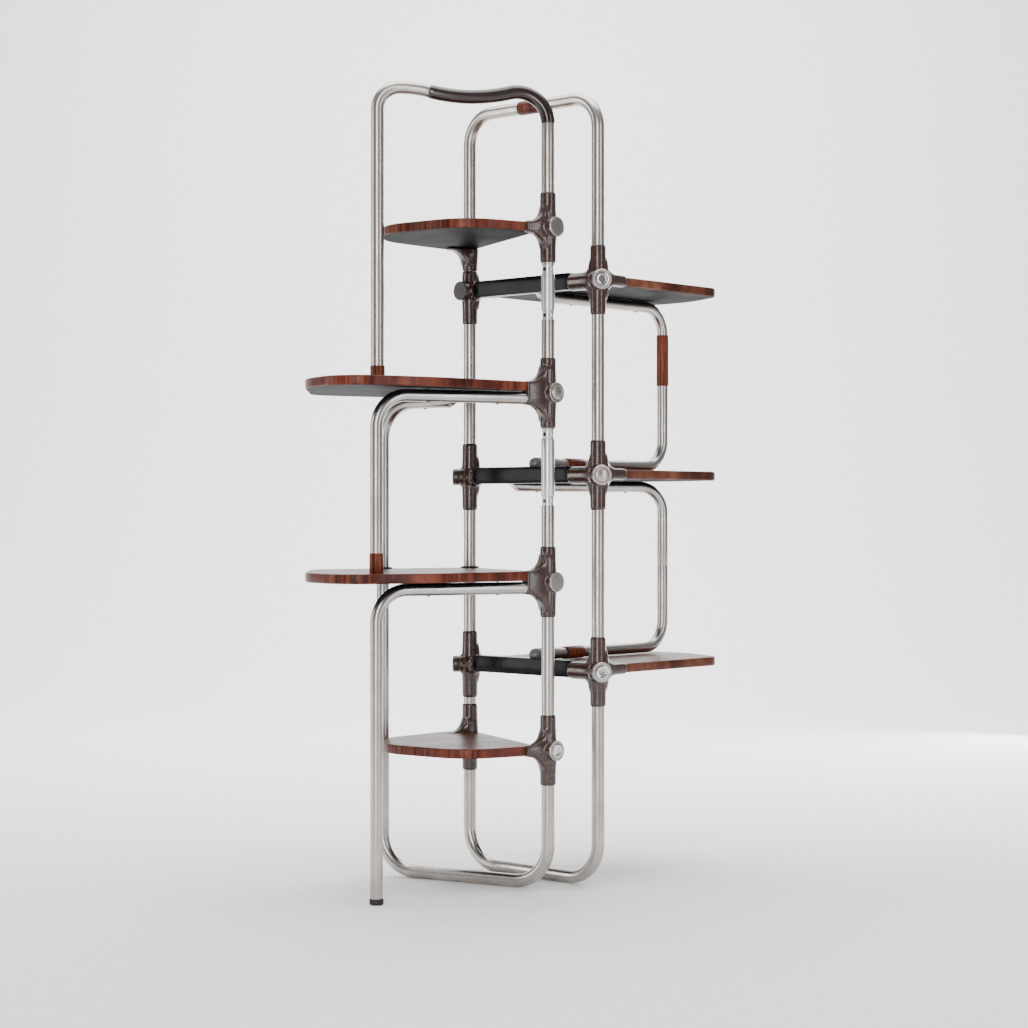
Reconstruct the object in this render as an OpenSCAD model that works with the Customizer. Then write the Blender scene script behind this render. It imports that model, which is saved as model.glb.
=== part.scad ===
/* [Posts in plan, measured from the front post] */
// Distance of the rear post behind the front post
rear_post_y = 344; // [300:1:400]
// Sideways place of the right post
right_post_x = 115; // [90:1:140]
// Front-to-back place of the right post
right_post_y = -17; // [-30:1:10]
// Sideways place of the back left post
back_post_x = -212; // [-240:1:-190]
// Front-to-back place of the back left post
back_post_y = 359; // [320:1:380]
// Sideways place of the two front legs
leg_x = -397; // [-430:1:-350]
// Front-to-back place of the two front legs
leg_y = 21; // [0:1:40]
// Sideways place of the hoop's far post
hoop_post_x = -322; // [-350:1:-280]
// Front-to-back place of the hoop's far post
hoop_post_y = 166; // [140:1:200]

/* [Heights above the floor] */
// Overall height, to the top of the front hoop
total_h = 1720; // [1620:1:2080]
// How far the rear hoop's top stays below the overall height
rear_hoop_drop = 8; // [0:1:40]
// Middle of the top left shelf's clamp
shelf_1_z = 1410; // [1395:1:1440]
// Middle of the upper large left shelf's clamp
shelf_2_z = 1058; // [1040:1:1100]
// Middle of the lower large left shelf's clamp
shelf_3_z = 656; // [600:1:700]
// Middle of the top right shelf's clamp
shelf_4_z = 1303; // [1290:1:1305]
// Middle of the middle right shelf's clamp
shelf_5_z = 884; // [860:1:920]
// Middle of the bottom right shelf's clamp
shelf_6_z = 462; // [430:1:480]
// Middle of the bottom left shelf's clamp
shelf_7_z = 298; // [240:1:340]

/* [Tubes] */
// Outside diameter of the post tubes
tube_d = 28; // [26:0.5:30]
// Outside diameter of the two front legs
leg_d = 26; // [22:0.5:27]
// Outside diameter of the two side handles
side_d = 25; // [20:0.5:28]
// Wall of every tube
tube_wall = 1.9; // [1.2:0.1:3]
// Centre-line radius of the loops' lower bends
loop_r = 80; // [60:1:100]
// Centre-line radius of the rear hoop's top bends
rear_hoop_r = 66; // [50:1:90]
// Centre-line radius of the handgrip's bend
grip_r = 66; // [50:1:75]
// Centre-line radius of the front hoop's far bend
far_r = 46; // [40:1:52]
// Centre-line radius of the legs' bends
leg_r = 68; // [50:1:80]
// Centre-line radius of the side handles' bends
side_r = 62; // [45:1:80]
// Length of the back left post's arm under the large shelf
back_arm = 170; // [120:1:220]
// Room between a tube and the piece around it, on the radius
fit_gap = 0.1; // [0.05:0.01:0.2]

/* [Top hoops] */
// Slope of the front hoop where the handgrip ends
dip_slope = 14; // [10:0.5:18]
// Distance of the dip from the front post
dip_at = 163; // [140:1:180]
// End of the handgrip, measured from the front post
grip_end = 252; // [235:1:265]
// How far the handgrip's surface stands proud of the tubes
grip_over = 1; // [0.5:0.5:4]
// Length of the band on the rear hoop's top bar
band_l = 59; // [30:1:80]
// Middle of the band, measured from the right post
band_at = 194; // [150:1:220]

/* [Couplers] */
// Lower edge of the upper coupler's sleeve
coupler_high_z = 1233; // [1200:1:1245]
// Length of the upper coupler's sleeve
coupler_high_l = 78; // [60:1:85]
// Lower edge of the lower coupler's sleeve
coupler_low_z = 838; // [800:1:860]
// Length of the lower coupler's sleeve
coupler_low_l = 122; // [80:1:125]
// Bare length of the inner tube below each sleeve
neck_l = 20; // [14:1:30]
// Length of the inner tube held in the post at each end
spigot_l = 45; // [30:1:60]
// How far the coupler sleeves stand proud of the tubes
sleeve_over = 0.5; // [0.2:0.1:2]
// Diameter of the snap buttons
button_d = 8; // [6:0.5:9]
// How far a snap button stands out of the inner tube
button_out = 3.6; // [2:0.1:4.5]
// Travel of a snap button
button_travel = 3.4; // [2:0.1:4]
// Room around a snap button, on the radius
button_gap = 0.05; // [0.03:0.01:0.1]
// Direction the snap buttons face
button_turn = 270; // [255:1:285]
// Direction of the empty second hole
empty_turn = 200; // [180:1:215]

/* [Clamps] */
// Half the length of a clamp's sleeve
clamp_half = 75; // [60:1:85]
// Wall of a clamp's sleeve
clamp_wall = 3; // [2:0.1:5]
// Radius of the fillet between a clamp's sleeve and arm
clamp_fillet = 30; // [15:1:40]
// Length of the front clamps' arms
front_arm = 57; // [50:1:70]
// Length of the right shelves' arms
shelf_arm = 86; // [70:1:100]
// Height where the two top rear clamps meet, above the top right shelf's clamp
rear_split = 46; // [40:1:50]
// Length of the rail sockets at the right post
socket_l = 75; // [60:1:90]
// Length of the rail seats at the rear post
seat_l = 24; // [20:1:30]
// Diameter of the rail's spigot in its socket
spigot_d = 30; // [24:0.5:32]
// Length of the rail's spigot
spigot_depth = 26; // [15:1:35]
// Outside diameter of the rail sockets
socket_d = 38; // [36:0.5:42]
// Half the width of a clamp's arm
arm_half_w = 13; // [10:0.5:16]
// Lip of an arm above and below its shelf
arm_lip = 3; // [2:0.5:5]
// Radius of a clamp's boss
boss_r = 20; // [16:0.5:22]
// Distance of the boss's face from the post's axis
boss_face = 24; // [22:0.5:28]
// Diameter of the screws in the bosses
screw_d = 8; // [6:0.5:10]
// Room around a turning knob's screw, on the radius
screw_gap = 0.05; // [0.03:0.01:0.1]
// Radius of the cover discs and washers
disc_r = 21.5; // [18:0.5:24]
// Thickness of the cover discs
disc_t = 4; // [2:0.5:6]
// Radius of the two round hand knobs
knob_r = 18.5; // [15:0.5:21]
// Thickness of the two round hand knobs
knob_t = 15; // [8:0.5:20]

/* [Shelves] */
// Thickness of the left shelves
left_t = 20; // [16:0.5:24]
// Thickness of the right shelves
right_t = 20; // [16:0.5:24]
// Height of a large left shelf's middle above its clamp's
large_lift = 13; // [11:0.5:16]
// Height of a right shelf's middle above its clamp's
right_lift = 3; // [0:0.5:5]
// Reach of the large left shelves from the front post
large_reach = 520; // [480:1:560]
// Reach of the small left shelves from the front post
small_reach = 292; // [260:1:320]
// Reach of the right shelves from the rail
right_reach = 487; // [440:1:500]
// How far a shelf's inner edge stays from the post's axis
shelf_inset = 24; // [22:0.5:28]
// How far a shelf passes the line of its posts
shelf_side = 2; // [0:0.5:6]
// Room around a shelf in its clamp
shelf_gap = 0.3; // [0.1:0.1:0.6]
// Outside diameter of the rubber rings
ring_d = 42; // [38:0.5:50]
// Wall of a ring in its shelf
ring_wall = 3; // [2:0.5:5]
// Height of a ring's flange above the shelf
ring_h = 4; // [2:0.5:8]

/* [Shelf outlines] */
// Place of the large shelves' front swell along the front post's line
large_swell_at = 300; // [260:1:330]
// How far the large shelves' front swell stands out
large_swell_out = 54; // [40:1:60]
// Radius of the large shelves' front swell
large_swell_r = 420; // [300:1:450]
// How far the large shelves' outer front corner stands out
large_corner_out = 50; // [40:1:60]
// Radius of the large shelves' outer front corner
large_corner_r = 85; // [60:1:100]
// Front-to-back place of the large shelves' outermost point
large_end_y = 130; // [110:1:150]
// Radius of the large shelves' outer end
large_end_r = 230; // [150:1:250]
// How far the large shelves' back corner draws in from their reach
large_back_in = 148; // [120:1:170]
// How far the large shelves pass the rear post
large_back_out = 51; // [45:1:60]
// Radius of the large shelves' back corner
large_back_r = 75; // [50:1:90]
// Place of the small shelves' front corner along the front post's line
small_front_at = 204; // [185:1:215]
// How far the small shelves' front corner stands out
small_front_out = 6; // [0:1:10]
// Radius of the small shelves' front corner
small_front_r = 110; // [80:1:120]
// Front-to-back place of the small shelves' outermost point
small_end_y = 200; // [185:1:215]
// How far the small shelves' outer corner passes their reach
small_end_out = 4; // [0:1:8]
// Radius of the small shelves' outer end
small_end_r = 120; // [90:1:130]
// How far the small shelves' back corner draws in from their reach
small_back_in = 66; // [50:1:80]
// How far the small shelves' back corner stays in front of the rear post
small_back_y = 20; // [10:1:30]
// Radius of the small shelves' back corner
small_back_r = 110; // [80:1:120]
// Sideways place of the small shelves' inner back corner
small_heel_x = 45; // [40:1:60]
// How far the small shelves pass the rear post
small_heel_out = 42; // [40:1:50]
// Radius of the small shelves' inner back corner
small_heel_r = 60; // [40:1:62]
// How far the left shelves' inner edge leans out behind the rear post
inner_lean = 22; // [15:1:30]
// How far the left shelves' inner corner passes the rear post
inner_out = 40; // [38:1:42]
// Radius of the left shelves' inner back corner
inner_r = 22; // [10:1:25]
// Radius of the shelves' corners at the posts
post_corner_r = 6; // [3:1:8]
// How far the right shelves' outer edge bows past their reach
right_bow = 25; // [15:1:35]
// Radius of the right shelves' bowed edge
right_bow_r = 250; // [200:1:300]
// Length of the right shelves' rounded end
right_end_l = 62; // [50:1:75]
// Radius of the right shelves' outer corners
right_corner_r = 45; // [30:1:55]

/* [Rails and side handles] */
// Height of the rails
rail_h = 37; // [30:0.5:40]
// Height of a rail's middle above its clamp's
rail_lift = 2.5; // [0:0.5:4]
// Depth of a rail in front of the posts' line
rail_front = 12; // [8:0.5:16]
// Radius of a rail's bowed front face
rail_bow_r = 60; // [40:1:80]
// Place of the side handles along the rail
side_at = 195; // [150:1:230]
// Distance of the side handles' uprights from the rail
side_out = 466; // [420:1:470]
// Room between a side handle's arm and the shelf it lies along
side_gap = 0.5; // [0.3:0.1:3]
// Length of the upper side handle's top arm
upper_side_arm = 444; // [380:1:444]
// Length of the lower side handle's top arm
lower_side_arm = 405; // [340:1:410]
// Turn of the lower side handle's top arm towards the rear post
lower_side_turn = 22; // [0:1:23]
// Length of the side handles' lower arms
side_low_arm = 424; // [380:1:430]
// Height of the joint in the lower side handle's upright above the bottom right shelf
side_joint_up = 218; // [180:1:320]
// Length of the wood sleeve on the upper side handle
side_grip_l = 119; // [60:1:120]
// Thickness of the wood sleeves
sleeve_wall = 1.6; // [1:0.1:3]
// Length of the hoop post's collar
hoop_collar_l = 34; // [15:1:50]
// Length of the leg's collar
leg_collar_l = 41; // [25:1:60]
// Height of the foot cap
foot_h = 12; // [6:1:20]
// Floor of the foot cap and of the collars
cup_floor = 3; // [2:0.5:5]
// Diameter of the screws that hold the arms to the shelves
arm_screw_d = 4; // [3:0.5:6]
// Distances of a side handle's screws from its upright
side_screws_at = [100, 330]; // [90:1:350]
// Distances of a leg's screws from the front post
leg_screws_at = [120, 280]; // [100:1:300]
// Distance of the back left post's arm screw from the post
back_screw_at = 110; // [100:1:130]
// Distance of the lower arms' wood sleeves from the rail
side_sleeve_at = 116; // [100:1:140]
// Length of the lower arms' wood sleeves
side_sleeve_l = 56; // [30:1:80]

/* [Hidden] */
$fn = 64;
degree = 180 / PI;
// Depth of a peg's root and of a web's root in a moulding, room left above a fillet, and how far a
// cut passes a face
peg_root = 6;
web_margin = 3;
web_root = 6;
past = 1;
cut_past = 60;
// Set-backs: the large shelves' end corners, a leg's arm under its shelf and past its clamp's sleeve,
// the rails' backs behind the shelves' inner edge
end_set = 9;
leg_gap = 2;
leg_clear = 2;
rail_set = 4.5;

front_post = [0, 0];
side_in = side_d - 2 * tube_wall;
side_joint_z = shelf_6_z + side_joint_up;
rear_post = [0, rear_post_y];
right_post = [right_post_x, right_post_y];
back_post = [back_post_x, back_post_y];
leg_post = [leg_x, leg_y];
hoop_post = [hoop_post_x, hoop_post_y];
rail_l = norm(rear_post - right_post);
rail_turn = atan2(rear_post.y - right_post.y, rear_post.x - right_post.x) - 90;
leg_turn = atan2(leg_y, leg_x);

clamp_r = tube_d / 2 + fit_gap + clamp_wall;
tube_in = tube_d - 2 * tube_wall;
neck_d = tube_in - 2 * fit_gap;
grip_d = tube_d + 2 * grip_over;
sleeve_d = tube_d + 2 * sleeve_over;
large_bottom = large_lift - left_t / 2;
leg_drop = leg_d / 2 + leg_gap - large_bottom;
right_top = right_lift + right_t / 2;
right_bottom = right_lift - right_t / 2;
rail_back = shelf_inset - rail_set;
shelf_inner = rail_back + past;
side_under = right_bottom - side_gap - side_d / 2;
side_over = right_top + side_gap + sleeve_wall + fit_gap + side_d / 2;
hoop_crest = total_h - tube_d / 2;
rear_crest = hoop_crest - rear_hoop_drop;
hoop_w = norm(hoop_post);
coupler_high_top = coupler_high_z + coupler_high_l + neck_l;
coupler_low_top = coupler_low_z + coupler_low_l + neck_l;
upper_neck_z = coupler_high_z - neck_l;
lower_neck_z = coupler_low_z - neck_l;

// Headings, turns and rounded corners of a route in a plane
function heading(p, q) = atan2(q.y - p.y, q.x - p.x);
function wrapped(a) = a > 180 ? a - 360 : a < -180 ? a + 360 : a;
function turn_at(pts, i) = wrapped(heading(pts[i], pts[i + 1]) - heading(pts[i - 1], pts[i]));
function rounds(pts, i) = i > 0 && i < len(pts) - 1;
function setback(pts, i) = rounds(pts, i) ? pts[i][2] * tan(abs(turn_at(pts, i)) / 2) : 0;
function along(p, q, l) = [p.x, p.y] + l * [cos(heading(p, q)), sin(heading(p, q))];
function spun(v, a) = [v.x * cos(a) - v.y * sin(a), v.x * sin(a) + v.y * cos(a)];

// Arc that rounds the corner b between a and c with the radius b[2]
function corner(a, b, c, steps = 10) =
    let (turn = wrapped(heading(b, c) - heading(a, b)))
    let (start = along(b, a, b[2] * tan(abs(turn) / 2)))
    let (arm = b[2] * sign(turn) * [sin(heading(a, b)), -cos(heading(a, b))])
    [for (i = [0 : steps]) start - arm + spun(arm, turn * i / steps)];
function rounded(pts) =
    let (n = len(pts))
    [for (i = [0 : n - 1]) each corner(pts[(i + n - 1) % n], pts[i], pts[(i + 1) % n])];

// Shelf outlines: corners with their radii, the left ones seen from above, the right ones
// with x away from the rail and y along it
inner_edge = [
    [inner_lean, rear_post_y + inner_out, inner_r], [-shelf_inset, -shelf_side, post_corner_r]
];
large_corners = concat(inner_edge, [
    [-large_swell_at, -large_swell_out, large_swell_r],
    [end_set - large_reach, -large_corner_out, large_corner_r],
    [end_set - large_reach, large_end_y, large_end_r],
    [large_back_in - large_reach, rear_post_y + large_back_out, large_back_r]
]);
small_corners = concat(inner_edge, [
    [-small_front_at, -small_front_out, small_front_r],
    [-small_reach - small_end_out, small_end_y, small_end_r],
    [small_back_in - small_reach, rear_post_y - small_back_y, small_back_r],
    [-small_heel_x, rear_post_y + small_heel_out, small_heel_r]
]);
crown = right_reach + right_bow;
shoulder = right_reach - right_end_l;
right_corners = [
    [shelf_inner, rail_l + shelf_side, post_corner_r], [shelf_inner, -shelf_side, post_corner_r],
    [shoulder, -shelf_side, right_corner_r], [crown, rail_l / 2, right_bow_r],
    [shoulder, rail_l + shelf_side, right_corner_r]
];
large_outline = rounded(large_corners);
small_outline = rounded(small_corners);
right_outline = rounded(right_corners);
right_placed = [for (p = right_outline) right_post + spun(p, rail_turn)];

// The origin is the middle of the whole shelf's footprint, on the floor
right_turn = 257;
front_turn = 285;
disc_face = boss_face + disc_t;
post_reach = [
    right_post.y + disc_face * sin(right_turn) + disc_r * cos(right_turn),
    disc_face * sin(front_turn) - disc_r * cos(front_turn)
];
low_y = min(concat([for (p = large_outline) p.y], post_reach));
high_y = max([for (p = right_placed) p.y]);
low_x = min([for (p = large_outline) p.x]);
high_x = max([for (p = right_placed) p.x]);
middle = [(low_x + high_x) / 2, (low_y + high_y) / 2];

module placed() translate([-middle.x, -middle.y, 0]) children();
module at_post(post, z) placed() translate([post.x, post.y, z]) children();
module at_rail(z) placed() translate([right_post.x, right_post.y, z]) rotate(rail_turn) children();

// Upright plane through two posts: x runs from a to b, y is the height
module upright_plane(a, b)
    placed() translate([a.x, a.y, 0]) rotate([0, 0, heading(a, b)]) rotate([90, 0, 0]) children();

module pipe(outer, inner, l) {
    linear_extrude(l) difference() {
        circle(d = outer);
        circle(d = inner);
    }
}

// One leg of a route: its straight pipe along z, then its bend towards x and the legs after it
module tube_leg(pts, i, outer, inner) {
    l = norm([pts[i + 1].x - pts[i].x, pts[i + 1].y - pts[i].y]) - setback(pts, i) - setback(pts, i + 1);
    pipe(outer, inner, l);
    if (i + 2 < len(pts)) {
        turn = turn_at(pts, i + 1);
        r = pts[i + 1][2];
        translate([sign(turn) * r, 0, l]) {
            rotate([90, 0, 0]) rotate([0, 0, turn > 0 ? 180 - turn : 0])
                rotate_extrude(angle = abs(turn), $fn = 128) translate([r, 0]) difference() {
                    circle(d = outer, $fn = 64);
                    circle(d = inner, $fn = 64);
                }
            rotate([0, turn, 0]) translate([-sign(turn) * r, 0, 0]) tube_leg(pts, i + 1, outer, inner);
        }
    }
}

// Tube along a route of corners [x, y, bend radius]
module bent_tube(pts, outer, inner)
    translate([pts[0].x, pts[0].y]) rotate(heading(pts[0], pts[1])) rotate([90, 0, 90])
        tube_leg(pts, 0, outer, inner);

// Front group
module front_floor_hoop() {
    w = norm(back_post);
    arm_z = shelf_2_z - leg_drop;
    color("silver") difference() {
        upright_plane(back_post, front_post) bent_tube([
            [back_arm, arm_z], [0, arm_z, loop_r], [0, tube_d / 2, loop_r], [w, tube_d / 2, loop_r],
            [w, lower_neck_z]
        ], tube_d, tube_in);
        arm_screw_holes();
    }
}

module front_middle_post()
    color("silver") at_post(front_post, coupler_low_top)
        pipe(tube_d, tube_in, upper_neck_z - coupler_low_top);

// The front hoop's top bar: far bend, an arc that falls by the slope to the handgrip's end, the
// dip's arc and the handgrip's bend, each tangent to the next
rise_r = (hoop_w - far_r - grip_end) / sin(dip_slope);
dip_r = (grip_end - dip_at) / sin(dip_slope);
grip_end_z = hoop_crest - rise_r * (1 - cos(dip_slope));
dip_centre = [dip_at, grip_end_z + dip_r * cos(dip_slope)];
grip_slope = asin((dip_at - grip_r) / (dip_r + grip_r));
grip_low_z = dip_centre.y - (dip_r + grip_r) * cos(grip_slope);
hoop_low_z = shelf_2_z + large_lift + left_t / 2;

module front_upper_post()
    color("silver") at_post(front_post, coupler_high_top)
        pipe(tube_d, tube_in, grip_low_z - coupler_high_top);

// Arc of a round section: it leaves the origin along x and its centre is at [0, r]
module arc(r, angle, outer, inner = 0)
    translate([0, r]) rotate(-90) rotate_extrude(angle = angle, $fn = 256) translate([r, 0]) difference() {
        circle(d = outer, $fn = 64);
        circle(d = inner, $fn = 64);
    }

module front_hoop_tube()
    color("silver") upright_plane(front_post, hoop_post) translate([hoop_w - far_r, hoop_crest]) {
        rotate(180) arc(rise_r, dip_slope, tube_d, tube_in);
        translate([0, -far_r]) rotate_extrude(angle = 90, $fn = 128) translate([far_r, 0]) difference() {
            circle(d = tube_d, $fn = 64);
            circle(d = tube_in, $fn = 64);
        }
        translate([far_r, -far_r]) rotate([90, 0, 0])
            pipe(tube_d, tube_in, hoop_crest - far_r - hoop_low_z - cup_floor);
    }

// Solid moulding with a peg at each end that plugs into the tubes
module handgrip()
    color("#4a2c26") upright_plane(front_post, hoop_post) {
        translate(dip_centre - dip_r * [sin(grip_slope), cos(grip_slope)]) rotate(-grip_slope) {
            arc(dip_r, grip_slope + dip_slope, grip_d);
            rotate(180) arc(grip_r, 90 + grip_slope, grip_d);
        }
        translate([0, grip_low_z + peg_root]) rotate([90, 0, 0])
            cylinder(d = neck_d, h = spigot_l + peg_root);
        translate([hoop_w - far_r, hoop_crest - rise_r]) rotate(90 + dip_slope - spigot_l / rise_r * degree)
            rotate_extrude(angle = (spigot_l + peg_root) / rise_r * degree, $fn = 256)
                translate([rise_r, 0]) circle(d = neck_d, $fn = 64);
    }

// Cup of wood that ends a tube on a shelf
module end_collar(l, d) {
    difference() {
        cylinder(d = d + 2 * (fit_gap + sleeve_wall), h = l);
        translate([0, 0, cup_floor]) cylinder(d = d + 2 * fit_gap, h = l);
    }
}

module hoop_collar()
    color("#8a4630") at_post(hoop_post, hoop_low_z) end_collar(hoop_collar_l, tube_d);

// Inner tubes that join the rear hoop's halves and the lower side handle's two parts
module inner_joint_tubes() {
    side_neck = side_in - 2 * fit_gap;
    color("dimgray") {
        upright_plane(right_post, rear_post) translate([band_at - spigot_l, rear_crest])
            rotate([0, 90, 0]) pipe(neck_d, neck_d - 2 * tube_wall, 2 * spigot_l);
        at_rail(side_joint_z - spigot_l) translate([side_out, side_at])
            pipe(side_neck, side_neck - 2 * tube_wall, 2 * spigot_l);
    }
}

// Snap-button couplers
module radial(turn, r) rotate([0, 0, turn]) rotate([0, 90, 0]) translate([0, 0, r]) children();

module coupler_tube(sleeve_z, sleeve_l) {
    low = sleeve_z - neck_l - spigot_l;
    high = sleeve_z + sleeve_l + neck_l + spigot_l;
    color("gainsboro") difference() {
        at_post(front_post, low) pipe(neck_d, neck_d - 2 * tube_wall, high - low);
        for (z = [sleeve_z - neck_l / 2, sleeve_z + sleeve_l + neck_l / 2]) {
            at_post(front_post, z) radial(button_turn, 0)
                cylinder(d = button_d + 2 * button_gap, h = neck_d);
            at_post(front_post, z) radial(empty_turn, 0)
                cylinder(d = button_d + 2 * button_gap, h = neck_d);
        }
    }
}
module upper_coupler_tube() coupler_tube(coupler_high_z, coupler_high_l);
module lower_coupler_tube() coupler_tube(coupler_low_z, coupler_low_l);

module coupler_sleeve(sleeve_z, sleeve_l)
    color("silver") at_post(front_post, sleeve_z) pipe(sleeve_d, neck_d + 2 * fit_gap, sleeve_l);
module upper_coupler_sleeve() coupler_sleeve(coupler_high_z, coupler_high_l);
module lower_coupler_sleeve() coupler_sleeve(coupler_low_z, coupler_low_l);

button_tip = neck_d / 2 + button_out;
flange_d = button_d + 2;
button_bevel = 1;
neck_in = neck_d / 2 - tube_wall;
flange_face = sqrt(pow(neck_in, 2) - pow(flange_d / 2, 2)) - 0.3;

module snap_button(z) {
    color("gray") at_post(front_post, z) radial(button_turn, 0) {
        translate([0, 0, flange_face - flange_t]) cylinder(d = flange_d, h = flange_t);
        translate([0, 0, flange_face - flange_t / 2])
            cylinder(d = button_d, h = button_tip - button_bevel - flange_face + flange_t / 2);
        translate([0, 0, button_tip - button_bevel])
            cylinder(d1 = button_d, d2 = button_d - 2 * button_bevel, h = button_bevel);
    }
}
module upper_coupler_top_button() snap_button(coupler_high_top - neck_l / 2);
module upper_coupler_bottom_button() snap_button(coupler_high_z - neck_l / 2);
module lower_coupler_top_button() snap_button(coupler_low_top - neck_l / 2);
module lower_coupler_bottom_button() snap_button(coupler_low_z - neck_l / 2);

// One V spring behind each snap button, clear of the button's travel
flange_t = 1;
spring_t = 0.8;
spring_w = 6;
spring_tall = 25;
spring_room = 0.6;
spring_front = flange_face - flange_t - button_travel - spring_room;
spring_back = spring_room + spring_w / 2 - neck_in;
spring_line = [
    [spring_front, spring_w], [spring_front, -spring_w], [spring_back, past - spring_tall],
    [spring_back, -spring_tall], [spring_back + spring_t, -spring_tall],
    [spring_front + spring_t, -spring_w - spring_t / 2], [spring_front + spring_t, spring_w]
];
module button_springs() {
    heights = [
        coupler_high_top - neck_l / 2, coupler_high_z - neck_l / 2, coupler_low_top - neck_l / 2,
        coupler_low_z - neck_l / 2
    ];
    color("dimgray") for (z = heights) at_post(front_post, z)
        rotate([0, 0, button_turn]) rotate([90, 0, 0]) translate([-spring_t, 0, -spring_w / 2])
            linear_extrude(spring_w) polygon(spring_line);
}

// Legs, arms and the screws that hold them to the shelves
leg_w = norm(leg_post);
leg_start = clamp_r + leg_clear;
function on_rail(n, s) = right_post + spun([n, s], rail_turn);
function on_leg(l) = leg_post * l / leg_w;
function lower_side(l) =
    on_rail(side_out - l * cos(lower_side_turn), side_at + l * sin(lower_side_turn));

// Every arm screw: its plan place, the tube's axis height, the tube's radius and the shelf's underside
arm_screw_places = concat(
    [for (l = side_screws_at) [on_rail(side_out - l, side_at), shelf_4_z + side_under, side_d / 2,
        shelf_4_z + right_bottom]],
    [for (l = side_screws_at) [lower_side(l), shelf_5_z + side_under, side_d / 2,
        shelf_5_z + right_bottom]],
    [for (z = [shelf_2_z, shelf_3_z], l = leg_screws_at) [on_leg(l), z - leg_drop, leg_d / 2,
        z + large_bottom]],
    [[along(back_post, front_post, back_screw_at), shelf_2_z - leg_drop, tube_d / 2,
        shelf_2_z + large_bottom]]
);
screw_bite = 11;
head_rim = 3.2;
head_t = 2;
head_out = 1.5;
head_gap = 0.2;
module arm_screw_shapes(d, depth) {
    for (s = arm_screw_places) at_post(s[0], s[1] - s[2]) cylinder(d = d, h = s[3] + depth - s[1] + s[2]);
}
module arm_screws() {
    color("dimgray") {
        arm_screw_shapes(arm_screw_d, screw_bite);
        for (s = arm_screw_places) at_post(s[0], s[1] - s[2] - head_out)
            cylinder(d = arm_screw_d + head_rim, h = head_t);
    }
}
module arm_screw_holes() {
    arm_screw_shapes(arm_screw_d + 2 * head_gap, screw_bite + past);
    for (s = arm_screw_places) at_post(s[0], s[1] - s[2] - head_out)
        cylinder(d = arm_screw_d + head_rim + 2 * head_gap, h = head_t + head_gap);
}

module middle_leg_tube()
    color("silver") difference() {
        upright_plane(front_post, leg_post) bent_tube([
            [leg_start, shelf_2_z - leg_drop], [leg_w, shelf_2_z - leg_drop, leg_r],
            [leg_w, shelf_3_z + large_bottom + left_t + cup_floor]
        ], leg_d, leg_d - 2 * tube_wall);
        arm_screw_holes();
    }
module front_leg_tube()
    color("silver") difference() {
        upright_plane(front_post, leg_post) bent_tube([
            [leg_start, shelf_3_z - leg_drop], [leg_w, shelf_3_z - leg_drop, leg_r], [leg_w, cup_floor]
        ], leg_d, leg_d - 2 * tube_wall);
        arm_screw_holes();
    }
module leg_collar()
    color("#8a4630") at_post(leg_post, shelf_3_z + large_bottom + left_t) end_collar(leg_collar_l, leg_d);
module foot_cap()
    color("#26221f") at_post(leg_post, 0) end_collar(foot_h, leg_d);

// Rear loop
module rear_floor_hoop()
    color("silver") upright_plane(right_post, rear_post) bent_tube([
        [0, shelf_6_z], [0, tube_d / 2, loop_r], [rail_l, tube_d / 2, loop_r], [rail_l, shelf_7_z]
    ], tube_d, tube_in);
module rear_left_tube()
    color("silver") upright_plane(right_post, rear_post) bent_tube([
        [band_at, rear_crest], [rail_l, rear_crest, rear_hoop_r], [rail_l, shelf_7_z]
    ], tube_d, tube_in);
module rear_right_tube()
    color("silver") upright_plane(right_post, rear_post) bent_tube([
        [band_at, rear_crest], [0, rear_crest, rear_hoop_r], [0, shelf_6_z]
    ], tube_d, tube_in);
module rear_band()
    color("#5a2c24") upright_plane(right_post, rear_post) translate([band_at - band_l / 2, rear_crest])
        rotate([0, 90, 0]) pipe(tube_d + 2 * (fit_gap + sleeve_wall), tube_d + 2 * fit_gap, band_l);

// Clamp castings
module fillet_web(top, up) {
    r = min(clamp_fillet, up - top - web_margin);
    if (r > 0) difference() {
        translate([0, top]) square([clamp_r + r, r]);
        translate([clamp_r + r, top + r]) circle(r = r);
    }
}
module arm(turn, l, top, bottom, up, down, half_w = arm_half_w) {
    rotate([0, 0, turn]) rotate([90, 0, 0]) translate([0, 0, -half_w]) linear_extrude(2 * half_w) {
        translate([0, -bottom]) square([l, top + bottom]);
        fillet_web(top, up);
        mirror([0, 1]) fillet_web(bottom, down);
    }
}
module socket(turn, l, up, down) {
    radial(turn, 0) cylinder(d = socket_d, h = l);
    web = socket_d / 2 - web_root;
    room = web + web_margin + l - clamp_r - past;
    arm(turn, clamp_r + past, web, web, min(up, room), min(down, room));
}

// Sleeve with its boss; the arms are the children
module clamp(post, z, head_turn, up = clamp_half, down = clamp_half, has_boss = true) {
    at_post(post, z) difference() {
        union() {
            translate([0, 0, -down]) cylinder(r = clamp_r, h = up + down);
            if (has_boss) radial(head_turn, 0) cylinder(r = boss_r, h = boss_face);
            children();
        }
        translate([0, 0, -down - cut_past])
            cylinder(d = tube_d + 2 * fit_gap, h = up + down + 2 * cut_past);
        if (has_boss) radial(head_turn, 0) cylinder(d = screw_d + 2 * screw_gap, h = boss_face + past);
    }
}

module left_blank(outline, z, grow = 0)
    placed() translate([0, 0, z - left_t / 2 - grow]) linear_extrude(left_t + 2 * grow) polygon(outline);
module right_blank(z, grow = 0)
    at_rail(z + right_bottom - grow) linear_extrude(right_t + 2 * grow) polygon(right_outline);

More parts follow.
